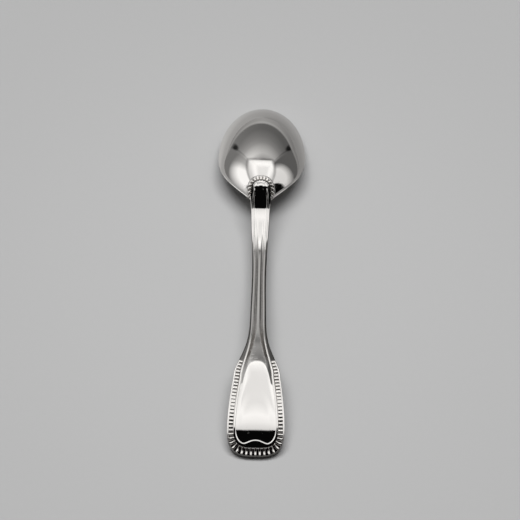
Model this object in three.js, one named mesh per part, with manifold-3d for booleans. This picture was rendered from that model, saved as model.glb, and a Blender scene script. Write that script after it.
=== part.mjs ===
// A baby spoon with a bead-and-thread border, lying face down as it rests on a table.
// Millimetres, +Z up, tip of the bowl towards +Y, end of the handle towards -Y.
import * as THREE from "three";
import { mergeVertices } from "three/addons/utils/BufferGeometryUtils.js";
import Module from "manifold-3d";

// Bowl
const BOWL_LENGTH = 47.9; // tip to neck, along the rim
const BOWL_WIDTH = 31.2;
const BOWL_TIP_REACH = 26; // tip to the widest place
const BOWL_DEPTH = 8.8; // rim to the crown of the back
const BOWL_SIDE_ANGLE = 59; // steepness of the back at the side rim, degrees
const BOWL_WALL = 1.2; // wall at the crown
const RIM_LAND = 1.3; // flat ground edge
const HEEL_WEB = 2.2; // solid metal between the hollow and the neck
const HEEL_HEIGHT = 2.2; // back above the rim at the neck
const BOWL_TILT = 9; // lean of the rim when the spoon lies face down, degrees
const HEEL_EASE = 1.25; // how late the outline leaves its widest place
const HEEL_FALL = 1.2; // how sharply it draws in to the neck
const HOLLOW_FULLNESS = 4; // how full the hollow stays before it closes at the heel

// Handle, seen from above
const STEM_LENGTH = 49.2; // neck to the joint with the blade
const HEEL_WIDTH = 6.6; // bowl at the neck
const NECK_WIDTH = 6.1; // stem at the neck, without its fillets
const NECK_FILLET = 0.7;
const NECK_FILLET_RUN = 8;
const STEM_WIDTH = 4.8; // at its waist
const STEM_TAPER = 31; // length over which the neck narrows to the waist
const STEM_SWELL = 0.3; // how much each side grows again below the waist
const SWELL_RUN = 20;
const BLADE_LENGTH = 48.5; // joint with the stem to the end
const SPREAD_LEAD = 4; // start of the shoulders above the joint
const SPREAD_LENGTH = 26; // length of the shoulders
const SPREAD_LAG = 1.9; // how late they spread
const BLADE_TOP_WIDTH = 15.6; // at the foot of the shoulders
const BLADE_WIDTH = 18.9;
const SIDE_EASE = 1.6;
const END_REACH = 9.4; // length of the rounded end
const END_SQUARENESS = 3;

// Handle, seen from the side: heights of the back above the table
const END_HEIGHT = 1.92;
const END_SLOPE = 23; // degrees
const KNEE_FROM_END = 15.5;
const KNEE_HEIGHT = 6.6;
const CREST_FROM_END = 32;
const CREST_HEIGHT = 8.05;
const SAG_FROM_NECK = 37.2;
const SAG_HEIGHT = 7;
const VALLEY_FROM_NECK = 19.2;
const VALLEY_HEIGHT = 6.65;
const NECK_THICKNESS = 3.4;
const STEM_THICKNESS = 3;
const BLADE_THICKNESS = 2.1;
const THINNING_RUN = 16.5; // length over which the stem thins to the blade
const TONGUE_HEIGHT = 0.9; // tongue above the bowl
const TONGUE_SETTLE = 0.8; // neck to where the tongue lies along the bowl
const TONGUE_REACH = 5.3; // tongue beyond the neck
const TONGUE_WIDTH = 5.4;
const TONGUE_SQUARENESS = 2.5; // of its rounded end

// Borders
const THREAD_WIDTH = 0.75;
const THREAD_HEIGHT = 0.45;
const THREAD_SEAT = 0.3; // depth of its seat below the crown
const THREAD_INSET = 0.8; // edge of the stem to the middle of the thread
const THREAD_LAP = 3.3; // thread running on past the neck, along the tongue
const GROOVE_WIDTH = 0.25;
const GROOVE_DEPTH = 0.4;
const CROWN_RUN = 6; // length over which the panel rises from the wave
const STEM_EDGE_DROP = 0.95; // edge of the stem below its crown
const BLADE_EDGE_DROP = 0.25;
const BLADE_RIM = 0.45; // plain rim outside the beads
const CHANNEL_DEPTH = 0.55;
const CHANNEL_WALL = 0.06; // lean of the channel's sides
const BEADS_FROM_JOINT = 15.6; // joint with the stem to the first bead
const BEAD_LENGTH = 1.35; // across the border, on the sides of the blade
const BEAD_PITCH = 1.3;
const BEAD_HEIGHT = 0.42;
const BEAD_WEB = 0.12; // strip under the beads
const BEAD_FLAT = 0.6; // share of a bead's length along its top
const END_LIFT = 0.5; // how much farther in the thread runs at the end
const ACCOLADE_RISE = 1.5; // wave of the thread at the end
const ACCOLADE_WIDTH = 11;
const HEEL_GAP = 0.7; // tongue to the beads round it
const HEEL_BEAD_LENGTH = 1.05;
const HEEL_BEAD_PITCH = 0.85;
const HEEL_BEAD_HEIGHT = 0.38;
const HEEL_BEAD_RUN = 0.6; // beads running on straight below the tongue's rounded end
const HEEL_THREAD_RUN = 0.1;
const HEEL_THREAD_WIDTH = 0.4;
const HEEL_THREAD_HEIGHT = 0.32;
const SEAM = 0.12; // solder seam between pieces

// How finely the faces are cut
const BOWL_RINGS = 20;
const BOWL_SECTION = 16;
const STEM_STEP = 2.6;
const BLADE_STEP = 1.5;
const END_RINGS = 12;
const TURN_RINGS = 5;
const STEM_KNOTS = 5; // points across half the stem
const THREAD_STEP = 2.1;
const WAVE_STEPS = 30;
const STEPS_PER_BEAD = 3;
const WIRE_STEPS = 4;
const HEEL_STEPS = 3;
const SETTLE_PASSES = 12; // rounds that find the bowl's back under a place
const SLOPE_STEP = 0.05;
const MERGE = 1e-4;
const TINY = 1e-6;

const { cos, sin, tan, sqrt, abs, min, max, PI, hypot, round } = Math;
const radians = THREE.MathUtils.degToRad;
const clamp = THREE.MathUtils.clamp;
const mix = THREE.MathUtils.lerp;

const tilt = radians(BOWL_TILT);
const bowlReach = BOWL_LENGTH * cos(tilt);
const tipY = (bowlReach + STEM_LENGTH + BLADE_LENGTH) / 2;
const neckY = tipY - bowlReach;
const neckZ = BOWL_LENGTH * sin(tilt);
const flareY = neckY - STEM_LENGTH;
const endY = flareY - BLADE_LENGTH;
const spreadY = flareY + SPREAD_LEAD;
const shoulderY = spreadY - SPREAD_LENGTH;
const beadsY = flareY - BEADS_FROM_JOINT;
const wideY = endY + END_REACH;
const tongueEndY = neckY + TONGUE_REACH;
const tongueTurnY = tongueEndY - TONGUE_WIDTH / 2;
const bladeThreadInset = BLADE_RIM + BEAD_LENGTH + 2 * (SEAM + CHANNEL_WALL) + THREAD_WIDTH / 2;

// Shape of a domed back: 1 at the crown, 0 where the spread reaches 1
const sideSin = sin(radians(BOWL_SIDE_ANGLE));
const sideCos = cos(radians(BOWL_SIDE_ANGLE));
const dome = (spread) => (sqrt(max(0, 1 - spread * sideSin ** 2)) - sideCos) / (1 - sideCos);
const domeSpread = (height) => (1 - (height * (1 - sideCos) + sideCos) ** 2) / sideSin ** 2;

// Outer form of the bowl, measured along the rim from the tip
const heelReach = BOWL_LENGTH - BOWL_TIP_REACH;
const heelSpread = sqrt(domeSpread(HEEL_HEIGHT / BOWL_DEPTH));

function bowlHalfWidth(along) {
  if (along < BOWL_TIP_REACH) {
    return (BOWL_WIDTH / 2) * sqrt(max(0, 1 - (1 - along / BOWL_TIP_REACH) ** 2));
  }
  const heel = min(1, (along - BOWL_TIP_REACH) / heelReach);
  const fall = max(0, cos((PI / 2) * heel ** HEEL_EASE)) ** HEEL_FALL;
  return mix(HEEL_WIDTH / 2, BOWL_WIDTH / 2, fall);
}

function bowlSpread(along) {
  const tip = 1 - along / BOWL_TIP_REACH;
  return along < BOWL_TIP_REACH ? tip : (heelSpread * (along - BOWL_TIP_REACH)) / heelReach;
}

function bowlBackHeight(along, x) {
  const across = min(1, abs(x) / max(bowlHalfWidth(along), TINY));
  const lengthwise = bowlSpread(along) ** 2;
  return BOWL_DEPTH * dome(lengthwise + (1 - lengthwise) * across ** 2);
}

// Hollow of the bowl, a little smaller all round and closed before the neck
const hollowTip = BOWL_TIP_REACH - RIM_LAND;
const hollowHeel = heelReach - HEEL_WEB;

function hollowHalfWidth(along) {
  const heel = (along - BOWL_TIP_REACH) / hollowHeel;
  if (heel <= 0) {
    return (BOWL_WIDTH / 2 - RIM_LAND) * sqrt(max(0, 1 - (heel * hollowHeel / hollowTip) ** 2));
  }
  return (bowlHalfWidth(along) - RIM_LAND) * sqrt(max(0, 1 - heel ** HOLLOW_FULLNESS));
}

function hollowHeight(along, across) {
  const reach = along < BOWL_TIP_REACH ? hollowTip : hollowHeel;
  const lengthwise = ((along - BOWL_TIP_REACH) / reach) ** 2;
  return (BOWL_DEPTH - BOWL_WALL) * dome(lengthwise + (1 - lengthwise) * across ** 2);
}

// The bowl's back in the resting pose: its height over a place on the table
function bowlBack(x, y) {
  let height = 0;
  let along = 0;
  for (let pass = 0; pass < SETTLE_PASSES; pass += 1) {
    along = clamp((tipY - y + height * sin(tilt)) / cos(tilt), 0, BOWL_LENGTH);
    height = bowlBackHeight(along, x);
  }
  return along * sin(tilt) + height * cos(tilt);
}

// A cubic spline through points in order of y, with its slope set at both ends
function clampedSpline(points, startSlope, endSlope) {
  const last = points.length - 1;
  const gap = (i) => points[i + 1].y - points[i].y;
  const rise = (i) => (points[i + 1].z - points[i].z) / gap(i);
  const diagonal = [2 * gap(0)];
  const load = [6 * (rise(0) - startSlope)];
  for (let i = 1; i <= last; i += 1) {
    const inner = i < last;
    const ratio = gap(i - 1) / diagonal[i - 1];
    const span = inner ? 2 * (gap(i - 1) + gap(i)) : 2 * gap(i - 1);
    const pull = (inner ? rise(i) : endSlope) - rise(i - 1);
    diagonal.push(span - ratio * gap(i - 1));
    load.push(6 * pull - ratio * load[i - 1]);
  }
  const bend = new Array(last + 1).fill(0);
  for (let i = last; i >= 0; i -= 1) {
    const next = i < last ? gap(i) * bend[i + 1] : 0;
    bend[i] = (load[i] - next) / diagonal[i];
  }
  return (y) => {
    const found = points.findIndex((point) => point.y > y) - 1;
    const i = found < -1 ? last - 1 : max(0, found);
    const t = y - points[i].y;
    const slope = rise(i) - (gap(i) * (2 * bend[i] + bend[i + 1])) / 6;
    return points[i].z + t * (slope + t * (bend[i] / 2 + (t * (bend[i + 1] - bend[i])) / (6 * gap(i))));
  };
}

// Back of the handle along its middle: the tongue follows the bowl, the rest follows the profile
const lapY = neckY + TONGUE_SETTLE;
const lapSlope = (bowlBack(0, lapY + SLOPE_STEP) - bowlBack(0, lapY)) / SLOPE_STEP;
const profile = clampedSpline(
  [
    { y: endY, z: END_HEIGHT },
    { y: endY + KNEE_FROM_END, z: KNEE_HEIGHT },
    { y: endY + CREST_FROM_END, z: CREST_HEIGHT },
    { y: neckY - SAG_FROM_NECK, z: SAG_HEIGHT },
    { y: neckY - VALLEY_FROM_NECK, z: VALLEY_HEIGHT },
    { y: lapY, z: bowlBack(0, lapY) + TONGUE_HEIGHT },
  ],
  tan(radians(END_SLOPE)),
  lapSlope,
);
const backCrown = (y) => (y > lapY ? bowlBack(0, y) + TONGUE_HEIGHT : profile(y));

const smooth = (t) => (1 - cos(PI * clamp(t, 0, 1))) / 2;

function thickness(y) {
  const shank = mix(NECK_THICKNESS, STEM_THICKNESS, smooth((neckY - y) / STEM_TAPER));
  return mix(shank, BLADE_THICKNESS, smooth((flareY - y) / THINNING_RUN));
}

const frontCrown = (y) => backCrown(y) - thickness(y);

// How far the stem has spread into the blade: 0 on the stem, 1 below the shoulders
const spread = (y) => smooth(clamp((spreadY - y) / SPREAD_LENGTH, 0, 1) ** SPREAD_LAG);
const tongueShare = (y) => smooth((y - neckY) / (tongueTurnY - neckY));
const neckFillet = (y) => NECK_FILLET * clamp(1 - (neckY - y) / NECK_FILLET_RUN, 0, 1) ** 3;

// Half the width of the handle at a place along it
function handleHalfWidth(y) {
  if (y > neckY) {
    return mix(NECK_WIDTH / 2 + NECK_FILLET, TONGUE_WIDTH / 2, tongueShare(y));
  }
  const taper = mix(NECK_WIDTH, STEM_WIDTH, smooth((neckY - y) / STEM_TAPER)) / 2;
  const swell = STEM_SWELL * smooth((neckY - STEM_TAPER - y) / SWELL_RUN);
  const up = clamp((y - wideY) / (shoulderY - wideY), 0, 1);
  const side = mix(BLADE_WIDTH, BLADE_TOP_WIDTH, up ** SIDE_EASE) / 2;
  return mix(taper + swell + neckFillet(y), side, spread(y));
}

function threadInset(y) {
  const onStem = mix(THREAD_INSET + neckFillet(y), THREAD_INSET, tongueShare(y));
  return mix(onStem, bladeThreadInset, spread(y));
}

// The right-hand outline of the handle from a start to the middle of the end, with inward directions
function handleOutline(startY, step, endSteps) {
  const points = [];
  const count = round((startY - wideY) / step);
  for (let i = 0; i < count; i += 1) {
    const y = mix(startY, wideY, i / count);
    points.push(new THREE.Vector2(handleHalfWidth(y), y));
  }
  for (let i = 0; i <= endSteps; i += 1) {
    const turn = ((PI / 2) * i) / endSteps;
    const x = (BLADE_WIDTH / 2) * max(0, cos(turn)) ** (2 / END_SQUARENESS);
    const y = wideY - END_REACH * sin(turn) ** (2 / END_SQUARENESS);
    points.push(new THREE.Vector2(i === endSteps ? 0 : x, y));
  }
  const last = points.length - 1;
  return points.map((point, i) => {
    const before = points[max(0, i - 1)];
    const after = i < last ? points[i + 1] : new THREE.Vector2(-before.x, before.y);
    const run = after.clone().sub(before).normalize();
    const inward = i === 0 ? new THREE.Vector2(-1, 0) : new THREE.Vector2(run.y, -run.x);
    return { point, inward };
  });
}

// The thread runs farther in round the end, with a wave in the middle
function waveInset(point) {
  if (point.y > wideY) {
    return threadInset(point.y);
  }
  const lift = END_LIFT * smooth((wideY - point.y) / END_REACH);
  const near = max(0, 1 - abs(point.x) / (ACCOLADE_WIDTH / 2));
  return bladeThreadInset + lift + ACCOLADE_RISE * smooth(near);
}

// Closes a run of rings, each with as many points, into one solid with its faces pointing out
function loft(rings) {
  const size = rings[0].length;
  const corners = rings.flat().flatMap((p) => [p.x, p.y, p.z]);
  const faces = [];
  for (let i = 0; i + 1 < rings.length; i += 1) {
    for (let j = 0; j < size; j += 1) {
      const a = i * size + j;
      const b = i * size + ((j + 1) % size);
      faces.push(a, b, b + size, a, b + size, a + size);
    }
  }
  const cap = (ring, first, isStart) => {
    const across = ring.map((p) => new THREE.Vector2(p.x, p.z));
    const ringTurn = THREE.ShapeUtils.area(across);
    if (abs(ringTurn) < TINY) {
      return;
    }
    for (const [a, b, c] of THREE.ShapeUtils.triangulateShape(across, [])) {
      const turn = THREE.ShapeUtils.area([across[a], across[b], across[c]]);
      const flip = turn * ringTurn > 0 === isStart;
      faces.push(first + a, first + (flip ? c : b), first + (flip ? b : c));
    }
  };
  cap(rings[0], 0, true);
  cap(rings.at(-1), (rings.length - 1) * size, false);
  return closedGeometry(corners, faces);
}

function closedGeometry(corners, faces) {
  const raw = new THREE.BufferGeometry();
  raw.setAttribute("position", new THREE.Float32BufferAttribute(corners, 3));
  raw.setIndex(faces);
  const merged = mergeVertices(raw, MERGE);
  const index = merged.getIndex().array;
  const kept = [];
  for (let i = 0; i < index.length; i += 3) {
    const [a, b, c] = [index[i], index[i + 1], index[i + 2]];
    if (a !== b && b !== c && c !== a) {
      kept.push(a, b, c);
    }
  }
  merged.setIndex(signedVolume(merged, kept) < 0 ? kept.reverse() : kept);
  return merged;
}

function signedVolume(geometry, faces) {
  const place = geometry.getAttribute("position");
  const corner = (i) => new THREE.Vector3().fromBufferAttribute(place, i);
  let total = 0;
  for (let i = 0; i < faces.length; i += 3) {
    total += corner(faces[i]).dot(corner(faces[i + 1]).cross(corner(faces[i + 2])));
  }
  return total / 6;
}

const wasm = await Module();
wasm.setup();

function toSolid(geometry) {
  return new wasm.Manifold(
    new wasm.Mesh({
      numProp: 3,
      vertProperties: new Float32Array(geometry.getAttribute("position").array),
      triVerts: new Uint32Array(geometry.getIndex().array),
    }),
  );
}

function fromSolid(solid) {
  const mesh = solid.getMesh();
  const geometry = new THREE.BufferGeometry();
  geometry.setAttribute("position", new THREE.Float32BufferAttribute(mesh.vertProperties, 3));
  geometry.setIndex(Array.from(mesh.triVerts));
  return geometry;
}

// The bowl is made flat on its rim, with the tip at the origin, and turned to its lean afterwards
function bowlGeometry() {
  const sweep = (start, reach, end, section) => {
    const rings = [];
    for (let i = 0; i <= BOWL_RINGS; i += 1) {
      const half = BOWL_RINGS / 2;
      const tipPart = reach - (reach - start) * cos((PI / 2) * min(1, i / half));
      const heelPart = (end - reach) * max(0, i / half - 1);
      rings.push(section(tipPart + heelPart));
    }
    return rings;
  };
  const across = (i) => sin((PI / 2) * ((2 * i) / BOWL_SECTION - 1));
  const arc = Array.from({ length: BOWL_SECTION + 1 }, (_, i) => across(i));
  const outer = sweep(0, BOWL_TIP_REACH, BOWL_LENGTH, (along) => {
    const half = bowlHalfWidth(along);
    return arc.map((s, i) => {
      const isRim = i === 0 || i === BOWL_SECTION;
      return new THREE.Vector3(s * half, -along, isRim ? 0 : bowlBackHeight(along, s * half));
    });
  });
  const start = BOWL_TIP_REACH - hollowTip;
  const hollow = sweep(start, BOWL_TIP_REACH, BOWL_TIP_REACH + hollowHeel, (along) => {
    const half = hollowHalfWidth(along);
    const roof = arc.map((s) => new THREE.Vector3(s * half, -along, hollowHeight(along, abs(s))));
    const below = [half, -half].map((x) => new THREE.Vector3(x, -along, -RIM_LAND));
    return [...roof, ...below];
  });
  return fromSolid(toSolid(loft(outer)).subtract(toSolid(loft(hollow))));
}

// Half of a handle section: inset from the edge and drop below the crown, from the edge to the groove
function stemSection(y) {
  const seatOut = threadInset(y) - THREAD_WIDTH / 2;
  const seatIn = threadInset(y) + THREAD_WIDTH / 2;
  return [
    { inset: 0, drop: STEM_EDGE_DROP },
    { inset: seatOut, drop: THREAD_SEAT },
    { inset: seatIn, drop: THREAD_SEAT },
    { inset: seatIn + GROOVE_WIDTH, drop: GROOVE_DEPTH },
  ];
}

function bladeSection(point) {
  const share = spread(point.y);
  const beaded = point.y < beadsY ? 1 : 0;
  const seatOut = threadInset(point.y) - THREAD_WIDTH / 2;
  const seatIn = waveInset(point) + THREAD_WIDTH / 2;
  const edge = mix(STEM_EDGE_DROP, BLADE_EDGE_DROP, share);
  const rimInset = mix(seatOut / 2, BLADE_RIM, beaded);
  const rim = mix((edge + THREAD_SEAT) / 2, 0, beaded);
  const channel = mix(THREAD_SEAT, CHANNEL_DEPTH, beaded);
  return [
    { inset: 0, drop: edge },
    { inset: rimInset, drop: rim },
    { inset: rimInset + CHANNEL_WALL, drop: mix(rim, channel, beaded) },
    { inset: seatOut - CHANNEL_WALL, drop: channel },
    { inset: seatOut, drop: THREAD_SEAT },
    { inset: seatIn, drop: THREAD_SEAT },
    { inset: seatIn + GROOVE_WIDTH, drop: GROOVE_DEPTH },
  ];
}

// A closed section from its right half and its middle, seen in plan and lifted to the back and the front
function handleRing(point, inward, section, middle) {
  const half = section.map(({ inset, drop }) => ({
    x: max(0, point.x + inward.x * inset),
    y: point.y + inward.y * inset,
    drop,
  }));
  half.push({ x: 0, ...middle });
  const top = half.map(({ x, y, drop }) => new THREE.Vector3(x, y, backCrown(y) - drop));
  const under = half.map(({ x, y, drop }) => new THREE.Vector3(x, y, frontCrown(y) + drop));
  const rightLoop = [...under.toReversed(), ...top];
  const leftLoop = rightLoop.slice(1, -1).toReversed().map((p) => new THREE.Vector3(-p.x, p.y, p.z));
  return [...rightLoop, ...leftLoop];
}

// A quarter of the tongue's rounded end, grown outwards by a distance
function tongueTurn(turn, outside) {
  const radius = TONGUE_WIDTH / 2 + outside;
  const x = radius * max(0, cos(turn)) ** (2 / TONGUE_SQUARENESS);
  const y = tongueTurnY + radius * sin(turn) ** (2 / TONGUE_SQUARENESS);
  return new THREE.Vector2(x < TINY ? 0 : x, y);
}

function stemGeometry() {
  const inward = new THREE.Vector2(-1, 0);
  const overBowl = (p) => p.clone().setZ(bowlBack(p.x, p.y) + SEAM);
  const ringAt = (point, share) => {
    const full = stemSection(point.y);
    const section = full.map(({ inset, drop }) => ({ inset: inset * share, drop: drop * share }));
    return handleRing(point, inward, section, { y: point.y, drop: 0 });
  };
  const tongueRing = (point, share) =>
    ringAt(point, share).map((p, j) => (isUnder(j, STEM_KNOTS) ? overBowl(p) : p));
  const rings = [];
  for (let i = TURN_RINGS; i > 0; i -= 1) {
    const point = tongueTurn(((PI / 2) * i) / TURN_RINGS, 0);
    rings.push(tongueRing(point, point.x / (TONGUE_WIDTH / 2)));
  }
  const tongueSteps = round((tongueTurnY - neckY) / STEM_STEP) + 1;
  for (let i = 0; i <= tongueSteps; i += 1) {
    const y = mix(tongueTurnY, neckY, i / tongueSteps);
    rings.push(tongueRing(new THREE.Vector2(handleHalfWidth(y), y), 1));
  }
  const stemSteps = round(STEM_LENGTH / STEM_STEP);
  for (let i = 0; i <= stemSteps; i += 1) {
    const y = mix(neckY - SEAM, flareY, i / stemSteps);
    rings.push(ringAt(new THREE.Vector2(handleHalfWidth(y), y), 1));
  }
  return loft(rings);
}

const isUnder = (j, knots) => j < knots || j > 3 * knots - 2;

function bladeGeometry() {
  const waveHeight = bladeThreadInset + END_LIFT + ACCOLADE_RISE;
  const waveTopY = endY + waveHeight + THREAD_WIDTH / 2 + GROOVE_WIDTH;
  const rings = handleOutline(flareY, BLADE_STEP, END_RINGS).map(({ point, inward }) => {
    const section = bladeSection(point);
    const y = max(point.y + inward.y * section.at(-1).inset, waveTopY);
    const drop = GROOVE_DEPTH * (1 - smooth((y - waveTopY) / CROWN_RUN));
    return handleRing(point, inward, section, { y, drop });
  });
  return loft(rings);
}

// Places above the seat of a border, by the seat's depth below the crown
const onBack = (seat) => (x, y, height) => new THREE.Vector3(x, y, backCrown(y) - seat + height);
const onFront = (seat) => (x, y, height) => new THREE.Vector3(x, y, frontCrown(y) + seat - height);

// A place square above the back of the bowl
function onBowl(x, y, height) {
  const fallX = bowlBack(x - SLOPE_STEP, y) - bowlBack(x + SLOPE_STEP, y);
  const fallY = bowlBack(x, y - SLOPE_STEP) - bowlBack(x, y + SLOPE_STEP);
  const square = new THREE.Vector3(fallX, fallY, 2 * SLOPE_STEP).normalize();
  return new THREE.Vector3(x, y, bowlBack(x, y)).addScaledVector(square, height);
}

// A strip along a path on the table plan; its section's offsets and heights are lifted to their place
function strip(path, section, place) {
  const last = path.length - 1;
  const rings = path.map((point, i) => {
    const run = path[min(last, i + 1)].clone().sub(path[max(0, i - 1)]).normalize();
    return section(i).map(({ offset, height }) =>
      place(point.x - run.y * offset, point.y + run.x * offset, SEAM + height),
    );
  });
  return loft(rings);
}

// Half-round wire, from one edge over its crown to the other
function roundWire(width, height) {
  return Array.from({ length: WIRE_STEPS + 1 }, (_, i) => {
    const turn = (PI * i) / WIRE_STEPS;
    return { offset: (width / 2) * cos(turn), height: height * sin(turn) };
  });
}

// Both sides of a right-hand path, from the left start round the end to the right start
function bothSides(right) {
  const left = right.slice(0, -1).map((p) => new THREE.Vector2(-p.x, p.y));
  return [...left, ...right.toReversed()];
}

function threadPath() {
  const tongue = [];
  const tongueSteps = round(THREAD_LAP / STEM_STEP) + 1;
  for (let i = 0; i < tongueSteps; i += 1) {
    const y = mix(neckY + THREAD_LAP, neckY, i / tongueSteps);
    tongue.push(new THREE.Vector2(handleHalfWidth(y) - threadInset(y), y));
  }
  const outline = handleOutline(neckY, THREAD_STEP, WAVE_STEPS);
  const side = outline.map(({ point, inward }) => point.clone().addScaledVector(inward, waveInset(point)));
  return { tongue, side };
}

function threadGeometry(isBack) {
  const { tongue, side } = threadPath();
  const path = bothSides(isBack ? [...tongue, ...side] : side);
  const wire = roundWire(THREAD_WIDTH, THREAD_HEIGHT);
  return strip(path, () => wire, isBack ? onBack(THREAD_SEAT) : onFront(THREAD_SEAT));
}

// A strip of beads: its height rises over each bead and falls between them
function beadStrip(path, beads, beadLength, beadHeight, place) {
  const curve = new THREE.CatmullRomCurve3(path.map((p) => new THREE.Vector3(p.x, p.y, 0)));
  const steps = beads * STEPS_PER_BEAD;
  const spaced = curve.getSpacedPoints(steps).map((p) => new THREE.Vector2(p.x, p.y));
  const section = (i) => {
    const top = BEAD_WEB + (i % STEPS_PER_BEAD === 0 ? 0 : beadHeight);
    const half = beadLength(spaced[i].y) / 2;
    return [
      { offset: -half, height: 0 },
      { offset: half, height: 0 },
      { offset: half, height: top / 2 },
      { offset: half * BEAD_FLAT, height: top },
      { offset: -half * BEAD_FLAT, height: top },
      { offset: -half, height: top / 2 },
    ];
  };
  return strip(spaced, section, place);
}

function pathLength(path) {
  return path.slice(1).reduce((sum, p, i) => sum + hypot(p.x - path[i].x, p.y - path[i].y), 0);
}

// Length of the beads that fill the channel between the rim and the thread
const beadFill = (y) => BEAD_LENGTH - (bladeThreadInset - threadInset(y));

function beadBorderGeometry(isBack) {
  const outline = handleOutline(beadsY - BLADE_STEP, BLADE_STEP, WAVE_STEPS);
  const path = outline.map(({ point, inward }) => {
    const inset = BLADE_RIM + CHANNEL_WALL + SEAM + beadFill(point.y) / 2;
    return point.clone().addScaledVector(inward, inset);
  });
  const border = bothSides(path);
  const beads = round(pathLength(border) / BEAD_PITCH);
  const place = isBack ? onBack(CHANNEL_DEPTH) : onFront(CHANNEL_DEPTH);
  return beadStrip(border, beads, beadFill, BEAD_HEIGHT, place);
}

// A horseshoe round the tongue, a given distance outside its edge, with a straight run at each foot
function horseshoe(outside, run) {
  const half = TONGUE_WIDTH / 2 + outside;
  const right = [];
  for (let i = 0; i < HEEL_STEPS; i += 1) {
    right.push(new THREE.Vector2(half, tongueTurnY - run * (1 - i / HEEL_STEPS)));
  }
  for (let i = 0; i <= WAVE_STEPS / 2; i += 1) {
    right.push(tongueTurn((PI * i) / WAVE_STEPS, outside));
  }
  return bothSides(right);
}

const heelBeadMiddle = HEEL_GAP + HEEL_BEAD_LENGTH / 2;
const heelThreadMiddle = heelBeadMiddle + HEEL_BEAD_LENGTH / 2 + SEAM + HEEL_THREAD_WIDTH / 2;

function heelBeadGeometry() {
  const path = horseshoe(heelBeadMiddle, HEEL_BEAD_RUN);
  const beads = round(pathLength(path) / HEEL_BEAD_PITCH);
  return beadStrip(path, beads, () => HEEL_BEAD_LENGTH, HEEL_BEAD_HEIGHT, onBowl);
}

function heelThreadGeometry() {
  const path = horseshoe(heelThreadMiddle, HEEL_THREAD_RUN);
  const wire = roundWire(HEEL_THREAD_WIDTH, HEEL_THREAD_HEIGHT);
  return strip(path, () => wire, onBowl);
}

const polished = { color: 0xd9d7d2, roughness: 0.08, metalness: 1 };
const dulled = { color: 0xbdb8b0, roughness: 0.18, metalness: 1 };

function piece(name, geometry, finish) {
  const mesh = new THREE.Mesh(geometry, new THREE.MeshStandardMaterial(finish));
  mesh.name = name;
  return mesh;
}

const spoon = new THREE.Group();
const bowl = piece("bowl", bowlGeometry(), polished);
bowl.position.set(0, tipY, 0);
bowl.rotation.x = -tilt;
spoon.add(
  bowl,
  piece("stem", stemGeometry(), polished),
  piece("blade", bladeGeometry(), polished),
  piece("back_thread", threadGeometry(true), polished),
  piece("front_thread", threadGeometry(false), polished),
  piece("back_bead_border", beadBorderGeometry(true), dulled),
  piece("front_bead_border", beadBorderGeometry(false), dulled),
  piece("heel_bead_border", heelBeadGeometry(), dulled),
  piece("heel_thread", heelThreadGeometry(), polished),
);

export default spoon;
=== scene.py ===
from math import copysign, cos, hypot, pi, radians, sin, sqrt, tan
from types import SimpleNamespace

import bmesh
import bpy
import numpy as np
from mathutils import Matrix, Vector


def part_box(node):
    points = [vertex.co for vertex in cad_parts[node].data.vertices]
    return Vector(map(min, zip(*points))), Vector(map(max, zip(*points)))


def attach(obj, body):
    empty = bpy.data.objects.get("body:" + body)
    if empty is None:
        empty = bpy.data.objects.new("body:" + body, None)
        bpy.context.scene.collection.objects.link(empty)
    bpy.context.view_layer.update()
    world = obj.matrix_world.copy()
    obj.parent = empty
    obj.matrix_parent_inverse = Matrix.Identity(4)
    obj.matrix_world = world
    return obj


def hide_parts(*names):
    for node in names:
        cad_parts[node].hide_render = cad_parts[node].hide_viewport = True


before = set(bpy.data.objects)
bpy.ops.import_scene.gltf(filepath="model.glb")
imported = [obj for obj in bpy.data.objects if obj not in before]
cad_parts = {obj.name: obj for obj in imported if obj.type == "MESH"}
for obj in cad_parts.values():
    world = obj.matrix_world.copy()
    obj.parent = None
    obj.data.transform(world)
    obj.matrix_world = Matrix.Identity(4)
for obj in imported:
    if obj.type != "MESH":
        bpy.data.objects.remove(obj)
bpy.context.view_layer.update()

# Shapes are worked out in millimetres and brought to metres when a piece is finished
MM = 0.001


def node_box(node):
    low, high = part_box(node)
    return low / MM, high / MM


bowl_low, bowl_high = node_box("bowl")
stem_low, stem_high = node_box("stem")
blade_low, blade_high = node_box("blade")

# Places along the spoon, from the frame
TIP_Y = bowl_high.y
NECK_Y = bowl_low.y
TONGUE_END_Y = stem_high.y
FLARE_Y = stem_low.y
END_Y = blade_low.y

# Bowl
BOWL_TILT = radians(9)
BOWL_LENGTH = (TIP_Y - NECK_Y) / cos(BOWL_TILT)
BOWL_WIDTH = bowl_high.x - bowl_low.x
BOWL_TIP_REACH = 26
BOWL_DEPTH = 8.76
BOWL_SIDE_ANGLE = radians(59)
BOWL_WALL = 1.2
RIM_LAND = 1.3
LIP = 0.45
LEDGE = 0.3
LEDGE_FALL = 0.08
LEDGE_START = 30
LEDGE_RUN = 9
LEDGE_PLACES = (0.15, 0.55, 1)
LIP_ROUND = [(0.02, 0.45), (0.06, 0.18), (0.12, 0.04), (0.2, 0.0), (0.9, 0.0)]
HEEL_WEB = 2.2
HEEL_HEIGHT = 2.2
HEEL_EASE = 1.25
HEEL_FALL = 1.2
HOLLOW_FULLNESS = 4

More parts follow.
